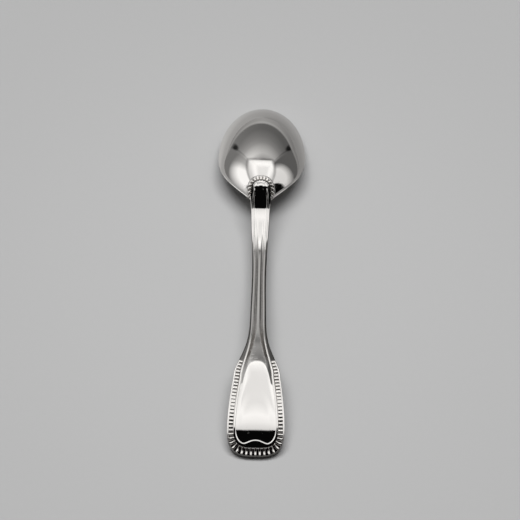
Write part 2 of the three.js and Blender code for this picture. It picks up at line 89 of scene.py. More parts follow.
# Handle, seen from above
HEEL_WIDTH = 6.6
NECK_FILLET = 0.55
NECK_FILLET_RUN = 8
NECK_FILLET_EASE = 3
NECK_WIDTH = stem_high.x - stem_low.x - 2 * NECK_FILLET
STEM_WIDTH = 4.8
STEM_TAPER = 31
STEM_SWELL = 0.3
SWELL_RUN = 20
SPREAD_LEAD = 4
SPREAD_LENGTH = 26
SPREAD_LAG = 1.8
BLADE_TOP_WIDTH = 15.6
BLADE_WIDTH = blade_high.x - blade_low.x
SIDE_EASE = 1.6
END_REACH = 9.4
END_SQUARENESS = 3
END_TURN_GAIN = 1.1
TONGUE_WIDTH = 5.4
TONGUE_SQUARENESS = 2.5
TONGUE_DIP = 0.55
TONGUE_DIP_REACH = 2.2

# Handle, seen from the side: heights of the back above the table
END_HEIGHT = 1.6
END_SLOPE = radians(26.5)
KNEE_FROM_END = 15.5
KNEE_HEIGHT = 6.4
CREST_FROM_END = 32
CREST_HEIGHT = 8.05
SAG_FROM_NECK = 37.2
SAG_HEIGHT = 7
VALLEY_FROM_NECK = 16.5
VALLEY_HEIGHT = 6.62
NECK_STEP = 0.3
NECK_STEP_FROM = 4.4
NECK_STEP_RUN = 4
NECK_STEP_FADE = 20
NECK_STEP_HOLD = 0.5
PANEL_LIFT = 0.28
PANEL_LIFT_FROM = 9
PANEL_LIFT_RUN = 8
PANEL_LIFT_HOLD = 4
PANEL_LIFT_FADE = 10
PANEL_LIFT_EASE = 1.5
ARCH_FALL = 6
ARCH_HALF_WIDTH = 4.4
ARCH_DEEPEST = 8
ARCH_EASE = 3
NECK_THICKNESS = 3.4
STEM_THICKNESS = 3
BLADE_THICKNESS = 2.1
THINNING_RUN = 16.5
TONGUE_HEIGHT = 0.9
TONGUE_SETTLE = 0.8
TONGUE_NOSE = 2
TONGUE_NOSE_FALL = 0.35
TONGUE_NOSE_EASE = 1.5

# Handle, across: a pillowed panel, flutes beside the rib and soft edges
PILLOW = 0.9
PILLOW_LEAD = 4
PILLOW_RISE = 15
PILLOW_END_SHARE = 0.3
PILLOW_FADE = 18
STEM_FLUTE = 0.2
FLUTE_CLOSE_RUN = 14
FLUTE_END = 13
FLUTE_FADE = 7
FLUTE_WIDTH = 1.5
SHOULDER_FLUTE_WIDTH = 1.1
FLUTE_SHARE = 0.75
FLUTE_SHADE_RISE = 6
FLUTE_SHADE_FADE = 3
FLUTE_SHADE_REACH = 1.25
NECK_RELIEF = 0.48
RELIEF_START = 4
RELIEF_RUN = 22
EDGE_LAG = 2
# How slowly the edges' painted shade and the flutes' tarnish and painted shade come in below the neck
TARNISH_AND_SHADE_LAG = 3
NECK_EDGE = 0.1
STEM_EDGE = 0.42
BLADE_EDGE = 0.18
END_EDGE = 0.03
BLADE_EDGE_DROP = 0.08
END_EDGE_DROP = -0.1
BLADE_WALL_TOP = 0.5
WALL_TOP_RUN = 6
CHAMFER_SLOPE = tan(radians(38))
SHOULDER_FALL = tan(radians(24))
NECK_FALL_SHARE = 0.1
LEAST_WALL = 0.12
STEM_ROLL = 0.4
BLADE_ROLL = 2.3

# Borders
STEM_THREAD_WIDTH = 0.55
BLADE_THREAD_WIDTH = 0.82
STEM_THREAD_INSET = 0.75
TONGUE_THREAD_INSET = 0.55
BLADE_THREAD_INSET = 2.5
STEM_SEAT = 0.12
BLADE_SEAT = 0.11
NECK_THREAD_RISE = 0.12
STEM_THREAD_RISE = 0.02
BLADE_THREAD_RISE = 0.14
WAVE_THREAD_RISE = 0.01
WAVE_RUN = 4
WIRE_TIP_SHARE = 0.3
WIRE_FOOT_STAIN = 0.6
THREAD_LAP = 2.4
THREAD_FADE = 3
BLADE_RIM = 0.6
END_RIM = 0.03
RIM_CREST = 0.03
CHANNEL_DEPTH = 0.28
CHANNEL_WEAR = 0.62
WEAR_LAG = 2.1
CHANNEL_STAIN = 0.42
# Round the end the channel's tarnish is deepened with painted shade
END_CHANNEL_TARNISH_AND_SHADE = 0.85
# Painted shade: the side edges of the stem and of the blade's end, and the tongue's edges, are darkened in
# colour
EDGE_PAINTED_SHADE = 0.8
END_EDGE_PAINTED_SHADE = 0.75
# Painted shade on the plain side outside the thread, from where the stem spreads to where the beads begin
SHOULDER_PAINTED_SHADE = 0.5
SHOULDER_PAINTED_SHADE_RUN = 8
# Flutes: partly tarnish and partly painted shade on the stem, painted shade alone as dark lines on the flat
# shoulder
STEM_FLUTE_TARNISH_AND_SHADE = 0.62
SHOULDER_LINE_PAINTED_SHADE = 1
TONGUE_EDGE_PAINTED_SHADE = 0.8
BEADS_FROM_JOINT = 15.6
BEAD_BAR_SHARE = 0.9
WORN_BAR_SHARE = 0.985
END_BAR_SHARE = 0.56
HEEL_BAR_SHARE = 0.7
SIDE_BEAD_PITCH = 1.22
END_BEAD_PITCH = 1.45
BEAD_WIDEN_RUN = 10
BEAD_TOP = 0.06
END_BEAD_TILT = 0.5
# Painted shade on the inner ends of the bars round the end
END_BEAD_SHADE = 0.76
END_BEAD_GAIN = 0.3
BEAD_FULLNESS = 8
BEAD_SQUARENESS = 4
BEAD_STAIN_TOP = 0.25
BEAD_STAIN = 1.6
BEAD_SHADE_FALL = 2
BEAD_SHADE_START = 0.6
END_LIFT = 0.7
ACCOLADE_RISE = 1.35
ACCOLADE_WIDTH = 11
HEEL_GAP = 0.4
HEEL_BEAD_LENGTH = 1.6
HEEL_BEAD_PITCH = 1.05
HEEL_BEAD_HEIGHT = 0.46
HEEL_BEAD_RUN = 1.6
HEEL_GROUND_SHARE = 0.9
HEEL_GROUND_RISE = 0.03
HEEL_GROUND_STAIN = 0.7
HEEL_THREAD_GAP = 0.05
HEEL_THREAD_WIDTH = 0.34
HEEL_THREAD_HEIGHT = 0.08
HEEL_THREAD_RUN = 0.1
HEEL_THREAD_FADE = 1.6
SINK = 0.12

# How finely the pieces are made
TIP_ROWS = 48
HEEL_ROWS = 44
ARC_STEPS = 72
STEM_STEP = 0.4
BLADE_STEP = 0.4
END_STEPS = 72
TURN_STEPS = 18
EDGE_STEPS = 7
RIM_STEPS = 4
CHANNEL_PLACES = (0.05, 0.2, 0.4, 0.6, 0.8, 0.95, 1)
CRESCENT_STEPS = 4
PANEL_STEPS = 24
PANEL_PACKING = 1.4
WIRE_STEPS = 10
THREAD_STEP = 0.4
BEAD_SIDES = 12
BEAD_RINGS = 8
HORSESHOE_LEG_STEPS = 4
HORSESHOE_STEPS = 40
SETTLE_PASSES = 12
SLOPE_STEP = 0.05
MERGE = 1e-4
TINY = 1e-6
SHARP_ANGLE = radians(42)

HEEL_REACH = BOWL_LENGTH - BOWL_TIP_REACH
HOLLOW_TIP = BOWL_TIP_REACH - RIM_LAND
HOLLOW_HEEL = HEEL_REACH - HEEL_WEB
SPREAD_Y = FLARE_Y + SPREAD_LEAD
SHOULDER_Y = SPREAD_Y - SPREAD_LENGTH
BEADS_Y = FLARE_Y - BEADS_FROM_JOINT
WIDE_Y = END_Y + END_REACH
PANEL_HALF_WIDTH = BLADE_WIDTH / 2 - BLADE_THREAD_INSET
TONGUE_TURN_Y = TONGUE_END_Y - TONGUE_WIDTH / 2
BOWL_TIP_Y = TIP_Y - LIP * sin(BOWL_TILT)


def mix(first, second, share):
    return first + (second - first) * share


def clamp(value, low=0.0, high=1.0):
    return min(max(value, low), high)


def ease(share):
    return (1 - cos(pi * clamp(share))) / 2


def steady(value):
    """A size that is the same at every place."""
    return lambda place: value


# The bowl, measured along its rim from the tip
SIDE_SIN = sin(BOWL_SIDE_ANGLE)
SIDE_COS = cos(BOWL_SIDE_ANGLE)


def dome(spread):
    return (sqrt(max(0, 1 - spread * SIDE_SIN**2)) - SIDE_COS) / (1 - SIDE_COS)


def dome_spread(height):
    return (1 - (height * (1 - SIDE_COS) + SIDE_COS) ** 2) / SIDE_SIN**2


HEEL_SPREAD = sqrt(dome_spread(HEEL_HEIGHT / BOWL_DEPTH))


def bowl_half_width(along):
    if along < BOWL_TIP_REACH:
        return BOWL_WIDTH / 2 * sqrt(max(0, 1 - (1 - along / BOWL_TIP_REACH) ** 2))
    heel = min(1, (along - BOWL_TIP_REACH) / HEEL_REACH)
    fall = max(0, cos(pi / 2 * heel**HEEL_EASE)) ** HEEL_FALL
    return mix(HEEL_WIDTH, BOWL_WIDTH, fall) / 2


def bowl_spread(along):
    if along < BOWL_TIP_REACH:
        return 1 - along / BOWL_TIP_REACH
    return HEEL_SPREAD * (along - BOWL_TIP_REACH) / HEEL_REACH


def bowl_back_height(along, x):
    across = min(1, abs(x) / max(bowl_half_width(along), TINY))
    lengthwise = bowl_spread(along) ** 2
    return LIP + (BOWL_DEPTH - LIP) * dome(lengthwise + (1 - lengthwise) * across**2)


def hollow_half_width(along):
    heel = (along - BOWL_TIP_REACH) / HOLLOW_HEEL
    if heel <= 0:
        tip = heel * HOLLOW_HEEL / HOLLOW_TIP
        return (BOWL_WIDTH / 2 - RIM_LAND) * sqrt(max(0, 1 - tip**2))
    return (bowl_half_width(along) - RIM_LAND) * sqrt(max(0, 1 - heel**HOLLOW_FULLNESS))


def hollow_height(along, across):
    reach = HOLLOW_TIP if along < BOWL_TIP_REACH else HOLLOW_HEEL
    lengthwise = min(1, ((along - BOWL_TIP_REACH) / reach) ** 2)
    return (BOWL_DEPTH - BOWL_WALL) * dome(lengthwise + (1 - lengthwise) * across**2)


def leaning(x, along, height):
    y = BOWL_TIP_Y - along * cos(BOWL_TILT) + height * sin(BOWL_TILT)
    return Vector((x, y, along * sin(BOWL_TILT) + height * cos(BOWL_TILT)))


def bowl_back(x, y):
    height = 0
    for _ in range(SETTLE_PASSES):
        along = clamp((BOWL_TIP_Y - y + height * sin(BOWL_TILT)) / cos(BOWL_TILT), 0, BOWL_LENGTH)
        height = bowl_back_height(along, x)
    return along * sin(BOWL_TILT) + height * cos(BOWL_TILT)


# The handle's back along its middle: the tongue follows the bowl, the rest a smooth curve
def clamped_curve(places, start_slope, end_slope):
    y = np.array([place[0] for place in places], float)
    z = np.array([place[1] for place in places], float)
    gap = np.diff(y)
    rise = np.diff(z) / gap
    last = len(y) - 1
    pull = np.diff(np.concatenate(([start_slope], rise, [end_slope])))
    stiffness = np.zeros((last + 1, last + 1))
    for i in range(last):
        stiffness[i, i] += 2 * gap[i]
        stiffness[i + 1, i + 1] += 2 * gap[i]
        stiffness[i, i + 1] = gap[i]
        stiffness[i + 1, i] = gap[i]
    bend = np.linalg.solve(stiffness, 6 * pull)

    def height(at):
        i = int(clamp(np.searchsorted(y, at) - 1, 0, last - 1))
        run = at - y[i]
        slope = rise[i] - gap[i] * (2 * bend[i] + bend[i + 1]) / 6
        return z[i] + run * (slope + run * (bend[i] / 2 + run * (bend[i + 1] - bend[i]) / (6 * gap[i])))

    return height


LAP_Y = NECK_Y + TONGUE_SETTLE
LAP_SLOPE = (bowl_back(0, LAP_Y + SLOPE_STEP) - bowl_back(0, LAP_Y)) / SLOPE_STEP
handle_curve = clamped_curve(
    [
        (END_Y, END_HEIGHT),
        (END_Y + KNEE_FROM_END, KNEE_HEIGHT),
        (END_Y + CREST_FROM_END, CREST_HEIGHT),
        (NECK_Y - SAG_FROM_NECK, SAG_HEIGHT),
        (NECK_Y - VALLEY_FROM_NECK, VALLEY_HEIGHT),
        (LAP_Y, bowl_back(0, LAP_Y) + TONGUE_HEIGHT),
    ],
    tan(END_SLOPE),
    LAP_SLOPE,
)


def back_crown(y):
    if y > LAP_Y:
        return bowl_back(0, y) + TONGUE_HEIGHT
    below_neck = NECK_Y - NECK_STEP_FROM + NECK_STEP_RUN - y
    left = 1 - ease(below_neck / NECK_STEP_FADE - NECK_STEP_HOLD)
    return handle_curve(y) - NECK_STEP * ease(below_neck / NECK_STEP_RUN) * left


def panel_lift(y):
    """A low swelling above the panel, which ends sharply in the panel's arch."""
    below = FLARE_Y - PANEL_LIFT_FROM - y
    left = 1 - ease((below - PANEL_LIFT_RUN - PANEL_LIFT_HOLD) / PANEL_LIFT_FADE)
    return PANEL_LIFT * clamp(below / PANEL_LIFT_RUN) ** PANEL_LIFT_EASE * left


def thickness(y):
    shank = mix(NECK_THICKNESS, STEM_THICKNESS, ease((NECK_Y - y) / STEM_TAPER))
    return mix(shank, BLADE_THICKNESS, ease((FLARE_Y - y) / THINNING_RUN))


def front_crown(y):
    return back_crown(y) - thickness(y)


def spread(y):
    """How far the stem has spread into the blade: 0 on the stem, 1 below the shoulders."""
    return ease(clamp((SPREAD_Y - y) / SPREAD_LENGTH) ** SPREAD_LAG)


def neck_fillet(y):
    return NECK_FILLET * clamp(1 - (NECK_Y - y) / NECK_FILLET_RUN) ** NECK_FILLET_EASE


def tongue_share(y):
    return ease((y - NECK_Y) / (TONGUE_TURN_Y - NECK_Y))


def handle_half_width(y):
    if y > NECK_Y:
        return mix(NECK_WIDTH / 2 + NECK_FILLET, TONGUE_WIDTH / 2, tongue_share(y))
    taper = mix(NECK_WIDTH, STEM_WIDTH, ease((NECK_Y - y) / STEM_TAPER)) / 2
    swell = STEM_SWELL * ease((NECK_Y - STEM_TAPER - y) / SWELL_RUN)
    up = clamp((y - WIDE_Y) / (SHOULDER_Y - WIDE_Y))
    side = mix(BLADE_WIDTH, BLADE_TOP_WIDTH, up**SIDE_EASE) / 2
    return mix(taper + swell + neck_fillet(y), side, spread(y))


def stem_relief(y):
    """How strong the relief of the stem is: nothing at the neck, full below it."""
    return ease((NECK_Y - RELIEF_START - y) / RELIEF_RUN)


def thread_inset(y):
    on_stem = STEM_THREAD_INSET + neck_fillet(min(y, NECK_Y))
    plain = mix(on_stem, TONGUE_THREAD_INSET, tongue_share(y))
    return mix(plain, BLADE_THREAD_INSET, spread(y))


def thread_width(y):
    return mix(STEM_THREAD_WIDTH, BLADE_THREAD_WIDTH, spread(y) ** 2)


def thread_foot(y):
    return thread_width(y) / 2


def pillow(y):
    """How far the back falls from its middle to the thread."""
    risen = ease((FLARE_Y + PILLOW_LEAD - y) / PILLOW_RISE)
    return PILLOW * risen * mix(1, PILLOW_END_SHARE, ease((SHOULDER_Y - y) / PILLOW_FADE))


def back_surface(x, y):
    """The back without its borders."""
    if y > FLARE_Y + PILLOW_LEAD:
        return back_crown(y)
    wide = max(y, WIDE_Y)
    inner = handle_half_width(wide) - thread_inset(wide)
    arch = min(ARCH_DEEPEST, ARCH_FALL * (abs(x) / ARCH_HALF_WIDTH) ** ARCH_EASE)
    return back_crown(y) + panel_lift(y + arch) - pillow(y) * (min(inner, abs(x)) / PANEL_HALF_WIDTH) ** 2


def mirrored(point):
    return Vector((-point.x, point.y))


def with_inward(points):
    """Each place of a right-hand outline with the direction inwards, square to the outline."""
    pairs = []
    for i, point in enumerate(points):
        on_axis = point.x < TINY
        before = points[i - 1] if i else (mirrored(points[1]) if on_axis else point)
        last = i + 1 == len(points)
        after = (mirrored(points[-2]) if on_axis else point) if last else points[i + 1]
        run = (after - before).normalized()
        pairs.append((point, Vector((run.y, -run.x))))
    return pairs


def handle_outline(start_y, step, end_steps):
    """The right-hand outline from a start to the middle of the end, with its inward directions."""
    count = round((start_y - WIDE_Y) / step)
    points = []
    for i in range(count):
        y = mix(start_y, WIDE_Y, i / count)
        points.append(Vector((handle_half_width(y), y)))
    for i in range(end_steps + 1):
        turn = pi / 2 * i / end_steps
        x = BLADE_WIDTH / 2 * max(0, cos(turn)) ** (2 / END_SQUARENESS) if i < end_steps else 0
        points.append(Vector((x, WIDE_Y - END_REACH * sin(turn) ** (2 / END_SQUARENESS))))
    return with_inward(points)


def end_share(point):
    """How far an outline place has come round the end of the blade."""
    return ease((WIDE_Y - point.y) / END_REACH * END_TURN_GAIN)


def border_inset(point, side, end):
    on_stem = mix(NECK_EDGE, STEM_EDGE, stem_relief(point.y) ** EDGE_LAG)
    return mix(on_stem, mix(side, end, end_share(point)), spread(point.y))


def edge_inset(point):
    return border_inset(point, BLADE_EDGE, END_EDGE)


def rim_inset(point):
    return border_inset(point, BLADE_RIM, END_RIM)


def wave_inset(point):
    near = max(0, 1 - abs(point.x) / (ACCOLADE_WIDTH / 2)) if point.y < WIDE_Y else 0
    return thread_inset(point.y) + END_LIFT * end_share(point) + ACCOLADE_RISE * ease(near)


def channel_inset(point):
    return thread_inset(point.y) - thread_foot(point.y) + END_BEAD_GAIN * end_share(point)


def side_wear(point):
    """How far handling has worn the border, most between the shoulder and the end."""
    along = clamp((BEADS_Y - point.y) / (BEADS_Y - WIDE_Y))
    return sin(pi * along**WEAR_LAG)


def channel_depth(point):
    return CHANNEL_DEPTH * (1 - CHANNEL_WEAR * side_wear(point))


WAVE_TOP_Y = END_Y + BLADE_THREAD_INSET + END_LIFT + ACCOLADE_RISE + BLADE_THREAD_WIDTH / 2


def accolade_height(x):
    return WAVE_TOP_Y - ACCOLADE_RISE * (1 - ease(1 - abs(x) / (ACCOLADE_WIDTH / 2)))


def thread_seat(y):
    """How far below the crown the thread sits."""
    return mix(STEM_SEAT * stem_relief(y), BLADE_SEAT, spread(y))


def thread_rise(y):
    on_stem = mix(NECK_THREAD_RISE, STEM_THREAD_RISE, stem_relief(y))
    on_blade = mix(BLADE_THREAD_RISE, WAVE_THREAD_RISE, wave_share(y))
    return mix(on_stem, on_blade, spread(y))


def wave_share(y):
    """How far the round thread has turned into the sharp ridge of the wave."""
    return ease((WIDE_Y - y) / WAVE_RUN)


def flute_depth(y):
    on_stem = STEM_FLUTE * mix(NECK_RELIEF, 1, stem_relief(y))
    return flute_left(y) * on_stem * (1 - to_shoulder(y))


def to_shoulder(y):
    """How far the flutes of the stem have closed into the painted dark lines of the shoulder."""
    return ease((SPREAD_Y - y) / FLUTE_CLOSE_RUN)


def flute_left(y):
    return 1 - ease((FLARE_Y - FLUTE_END - y) / FLUTE_FADE)


# Dark colour beside the thread: partly tarnish and partly painted shade in the stem's flutes, painted shade
# alone on the shoulder where the flutes have closed flat
def flute_tarnish_and_shade(y):
    stem = STEM_FLUTE_TARNISH_AND_SHADE * stem_relief(y) ** TARNISH_AND_SHADE_LAG
    return flute_left(y) * mix(stem, SHOULDER_LINE_PAINTED_SHADE, to_shoulder(y))


# Making and finishing a piece
def tarnish_and_shade_layer(bm):
    return bm.verts.layers.float.get("tarnish_and_shade") or bm.verts.layers.float.new("tarnish_and_shade")


def loft(bm, rings):
    """A closed shape through rings of places, each a point and how dark it is made, by tarnish and by
    painted shade.
    """
    tarnish_and_shade = tarnish_and_shade_layer(bm)
    columns = len(rings[0])
    rows = len(rings) - 1
    made = bmesh.ops.create_grid(bm, x_segments=columns, y_segments=rows, size=1)
    for corner in made["verts"]:
        column = round((corner.co.x + 1) / 2 * columns) % columns
        row = round((corner.co.y + 1) / 2 * rows)
        corner.co, corner[tarnish_and_shade] = rings[row][column]
    bmesh.ops.remove_doubles(bm, verts=made["verts"], dist=MERGE)
    bmesh.ops.dissolve_degenerate(bm, edges=bm.edges, dist=TINY)
    open_edges = [edge for edge in bm.edges if edge.is_boundary]
    bmesh.ops.holes_fill(bm, edges=open_edges, sides=0)


def new_object(bm, name, finish):
    mesh = bpy.data.meshes.new(name)
    bm.to_mesh(mesh)
    bm.free()
    mesh.materials.append(finish)
    made = bpy.data.objects.new(name, mesh)
    bpy.context.scene.collection.objects.link(made)
    return made


def finish_piece(bm, name, finish, node):
    bmesh.ops.recalc_face_normals(bm, faces=bm.faces)
    bmesh.ops.scale(bm, vec=(MM, MM, MM), verts=bm.verts)
    for edge in bm.edges:
        edge.smooth = edge.calc_face_angle(0) < SHARP_ANGLE
    for face in bm.faces:
        face.smooth = True
    piece = new_object(bm, name, finish)
    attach(piece, "root")
    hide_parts(node)


def loft_piece(rings, name, finish, node):
    bm = bmesh.new()
    loft(bm, rings)
    finish_piece(bm, name, finish, node)


# Bowl
def bowl_row(row, start, end):
    """How far along the rim a row lies: close rows at the tip, even rows towards the heel."""
    tip = min(1, row / TIP_ROWS)
    heel = clamp((row - TIP_ROWS) / HEEL_ROWS)
    return BOWL_TIP_REACH - (BOWL_TIP_REACH - start) * cos(pi / 2 * tip) + (end - BOWL_TIP_REACH) * heel


def bowl_ring(row):
    last = row > TIP_ROWS + HEEL_ROWS
    outer = bowl_row(row, 0, BOWL_LENGTH)
    inner = BOWL_LENGTH if last else bowl_row(row, RIM_LAND, BOWL_LENGTH - HEEL_WEB)
    half = bowl_half_width(outer)
    hollow = 0 if last else hollow_half_width(inner)
    ledge = LEDGE * ease((outer - LEDGE_START) / LEDGE_RUN)
    arc = [sin(pi / 2 * (2 * i / ARC_STEPS - 1)) for i in range(ARC_STEPS + 1)]
    back = [leaning(s * half, outer, bowl_back_height(outer, s * half)) for s in arc]
    lip = []
    for share in LEDGE_PLACES:
        lip.append(leaning(half + ledge * share, outer, LIP - LEDGE_FALL * share * ledge / LEDGE))
    for share, height in LIP_ROUND:
        lip.append(leaning(mix(half + ledge, hollow, share), mix(outer, inner, share), height * LIP))
    roof = []
    for s in reversed(arc):
        height = 0 if last else hollow_height(inner, abs(s))
        roof.append(leaning(s * hollow, inner, height))
    far_lip = [Vector((-place.x, place.y, place.z)) for place in reversed(lip)]
    return [(place, 0.0) for place in back + lip + roof + far_lip]


def make_bowl(finish):
    rings = [bowl_ring(row) for row in range(TIP_ROWS + HEEL_ROWS + 2)]
    loft_piece(rings, "bowl_shell", finish, "bowl")


# Handle sections, from the middle of the side wall to the middle of the handle
def edge_line(edge, edge_drop, wall_drop, rounded, tarnish_and_shade):
    """The side wall up to its edge: a straight chamfer on the stem, a rounded edge on the blade."""
    chamfer_drop = min(wall_drop, edge_drop + edge * CHAMFER_SLOPE)
    line = []
    for i in range(EDGE_STEPS + 1):
        turn = pi / 2 * i / EDGE_STEPS
        along = max(0, i - 1) / (EDGE_STEPS - 1)
        straight = mix(chamfer_drop, edge_drop, along) if i else wall_drop
        bent = mix(wall_drop, edge_drop, sin(turn))
        line.append((edge * mix(along, 1 - cos(turn), rounded), mix(straight, bent, rounded), tarnish_and_shade))
    return line


def half_section(point, inward, wall_drop, edge, thread_middle, channel_inner, beaded, middle_y):
    """The right half of a section: place, drop below the back and darkening of each of its points, by
    tarnish and by painted shade.
    """
    y = point.y
    share = spread(y)
    seat = thread_seat(y)
    edge = min(edge, channel_inner)
    rim = min(rim_inset(point), channel_inner)
    foot_in = thread_middle + thread_foot(y)
    end = end_share(point)
    fall = SHOULDER_FALL * mix(NECK_FALL_SHARE, 1, stem_relief(y))
    crest_drop = mix(BLADE_EDGE_DROP, END_EDGE_DROP, end)
    # Painted shade on the shoulder's plain side outside the thread
    plain_painted_shade = (1 - beaded) * SHOULDER_PAINTED_SHADE * ease((SPREAD_Y - y) / SHOULDER_PAINTED_SHADE_RUN)
    # Painted shade on the side edges
    edge_painted_shade = mix(EDGE_PAINTED_SHADE * stem_relief(y) ** TARNISH_AND_SHADE_LAG, END_EDGE_PAINTED_SHADE * end, beaded)

    def plain_drop(inset):
        """The plain side outside the thread, which falls towards the edge."""
        return min(seat + fall * (channel_inner - inset), wall_drop - LEAST_WALL)

    edge_drop = mix(plain_drop(edge), crest_drop, beaded)
    border = edge_line(edge, edge_drop, wall_drop, beaded, edge_painted_shade)
    for i in range(1, RIM_STEPS + 1):
        along = i / RIM_STEPS
        inset = mix(edge, rim, along)
        crest = crest_drop - RIM_CREST * sin(pi * along)
        border.append((inset, mix(plain_drop(inset), crest, beaded), plain_painted_shade))
    for along in CHANNEL_PLACES:
        inset = mix(rim, channel_inner, along)
        channel = channel_depth(point) if along < 1 else seat
        # Tarnish in the channel, deepened round the end by painted shade
        tarnish_and_shade = mix(CHANNEL_STAIN, END_CHANNEL_TARNISH_AND_SHADE, end) * sqrt(sin(pi * along)) if along < 1 else 0
        border.append((inset, mix(plain_drop(inset), channel, beaded), mix(plain_painted_shade, tarnish_and_shade, beaded)))
    for i in range(1, CRESCENT_STEPS + 1):
        border.append((mix(channel_inner, foot_in, i / CRESCENT_STEPS), seat, 0))
    half = []
    for inset, drop, tarnish_and_shade in border:
        half.append((max(0, point.x + inward.x * inset), point.y + inward.y * inset, drop, tarnish_and_shade))
    start = point + inward * foot_in
    start.x = max(0, start.x)
    middle = Vector((0, middle_y))
    length = (middle - start).length
    flute_width = mix(FLUTE_WIDTH, SHOULDER_FLUTE_WIDTH, to_shoulder(y))
    flute_width = max(TINY, min(flute_width, FLUTE_SHARE * length))
    for i in range(1, PANEL_STEPS + 1):
        far = (i / PANEL_STEPS) ** PANEL_PACKING
        place = start.lerp(middle, far)
        away = far * length
        if y < WIDE_Y:
            away = min(away, max(0, place.y - accolade_height(place.x)))
        drop = seat * clamp(1 - away / mix(STEM_ROLL, BLADE_ROLL, share)) ** 2
        across = away / flute_width
        drop += flute_depth(y) * sin(pi * clamp(across)) ** 2
        # Tarnish and painted shade in the flutes, painted shade alone on the shoulder
        shade = clamp(FLUTE_SHADE_RISE * across) * clamp(FLUTE_SHADE_FADE * (FLUTE_SHADE_REACH - across))
        half.append((place.x, place.y, drop, flute_tarnish_and_shade(y) * shade))
    return half


def close_ring(upper, lower):
    """A closed section from the upper and the lower line of its right half."""
    right = lower[:0:-1] + upper
    left = [(Vector((-place.x, place.y, place.z)), tarnish_and_shade) for place, tarnish_and_shade in right[-2:0:-1]]
    return right + left


def handle_ring(point, inward, thread_middle, channel_inner, beaded, middle_y):
    wall = back_surface(point.x, point.y) - front_crown(point.y)
    top = mix(wall / 2, BLADE_WALL_TOP, ease((BEADS_Y - point.y) / WALL_TOP_RUN))
    borders = (thread_middle, channel_inner, beaded, middle_y)
    back = half_section(point, inward, top, edge_inset(point), *borders)
    front = half_section(point, inward, wall - top, rim_inset(point), *borders)
    upper = [(on_back(x, y, -drop), tarnish_and_shade) for x, y, drop, tarnish_and_shade in back]
    lower = [(on_front(x, y, -drop), tarnish_and_shade) for x, y, drop, tarnish_and_shade in front]
    return close_ring(upper, lower)


def tongue_turn(turn, outside):
    radius = TONGUE_WIDTH / 2 + outside
    x = radius * max(0, cos(turn)) ** (2 / TONGUE_SQUARENESS)
    return Vector((x if x > TINY else 0, TONGUE_TURN_Y + radius * sin(turn) ** (2 / TONGUE_SQUARENESS)))


def tongue_top(y):
    nose = max(0, y - TONGUE_END_Y + TONGUE_NOSE) / TONGUE_NOSE
    return back_crown(y) - TONGUE_NOSE_FALL * nose**TONGUE_NOSE_EASE


def tongue_ring(point, inward):
    """A section of the tongue, whose underside lies in the bowl and whose end dips in the middle."""
    inset = thread_inset(point.y)
    floor = bowl_back(point.x, point.y) - SINK
    middle_y = min(point.y, TONGUE_END_Y - TONGUE_THREAD_INSET - STEM_THREAD_WIDTH / 2)
    wall = tongue_top(point.y) - floor
    half = half_section(point, inward, wall, STEM_EDGE, inset, inset - thread_foot(point.y), 0, middle_y)
    upper = []
    lower = []
    for i, (x, y, drop, tarnish_and_shade) in enumerate(half):
        # Painted shade on the tongue's side edges
        if i <= EDGE_STEPS:
            tarnish_and_shade = TONGUE_EDGE_PAINTED_SHADE
        near_end = ease((y - TONGUE_TURN_Y) / (TONGUE_END_Y - TONGUE_TURN_Y))
        dipped = y - TONGUE_DIP * near_end * ease(1 - x / TONGUE_DIP_REACH)
        upper.append((Vector((x, dipped, tongue_top(y) - drop)), tarnish_and_shade))
        lower.append((Vector((x, dipped, bowl_back(x, dipped) - SINK)), tarnish_and_shade))
    return close_ring(upper, lower)


def make_stem(finish):
    points = [tongue_turn(pi / 2 * (1 - i / TURN_STEPS), 0) for i in range(TURN_STEPS)]
    steps = round((TONGUE_TURN_Y - FLARE_Y) / STEM_STEP)
    for i in range(steps + 1):
        y = mix(TONGUE_TURN_Y, FLARE_Y, i / steps)
        points.append(Vector((handle_half_width(y), y)))
    rings = []
    for point, inward in with_inward(points):
        if point.y > NECK_Y:
            rings.append(tongue_ring(point, inward))
        else:
            inset = thread_inset(point.y)
            rings.append(handle_ring(point, inward, inset, inset - thread_foot(point.y), 0, point.y))
    loft_piece(rings, "shank", finish, "stem")


def make_blade(finish):
    rings = []
    for point, inward in handle_outline(FLARE_Y, BLADE_STEP, END_STEPS):
        beaded = 1 if point.y < BEADS_Y else 0
        inset = wave_inset(point)
        middle_y = max(point.y + inward.y * (inset + thread_foot(point.y)), WAVE_TOP_Y)
        rings.append(handle_ring(point, inward, inset, channel_inset(point), beaded, middle_y))
    loft_piece(rings, "handle_blade", finish, "blade")


# Places above the back, the front and the bowl
def on_back(x, y, height):
    return Vector((x, y, back_surface(x, y) + height))


def on_front(x, y, height):
    return Vector((x, y, max(0, front_crown(y) - height)))


def on_bowl(x, y, height):
    fall_x = bowl_back(x - SLOPE_STEP, y) - bowl_back(x + SLOPE_STEP, y)
    fall_y = bowl_back(x, y - SLOPE_STEP) - bowl_back(x, y + SLOPE_STEP)
    square = Vector((fall_x, fall_y, 2 * SLOPE_STEP)).normalized()
    return Vector((x, y, bowl_back(x, y))) + square * height


def both_sides(right):
    return [mirrored(point) for point in right[:-1]] + right[::-1]


def travelled(path, pace):
    """How far each place of a path is from its start, counted in steps that change along it."""
    reach = [0]
    for before, after in zip(path, path[1:]):
        reach.append(reach[-1] + (after - before).length / pace(after))
    return reach


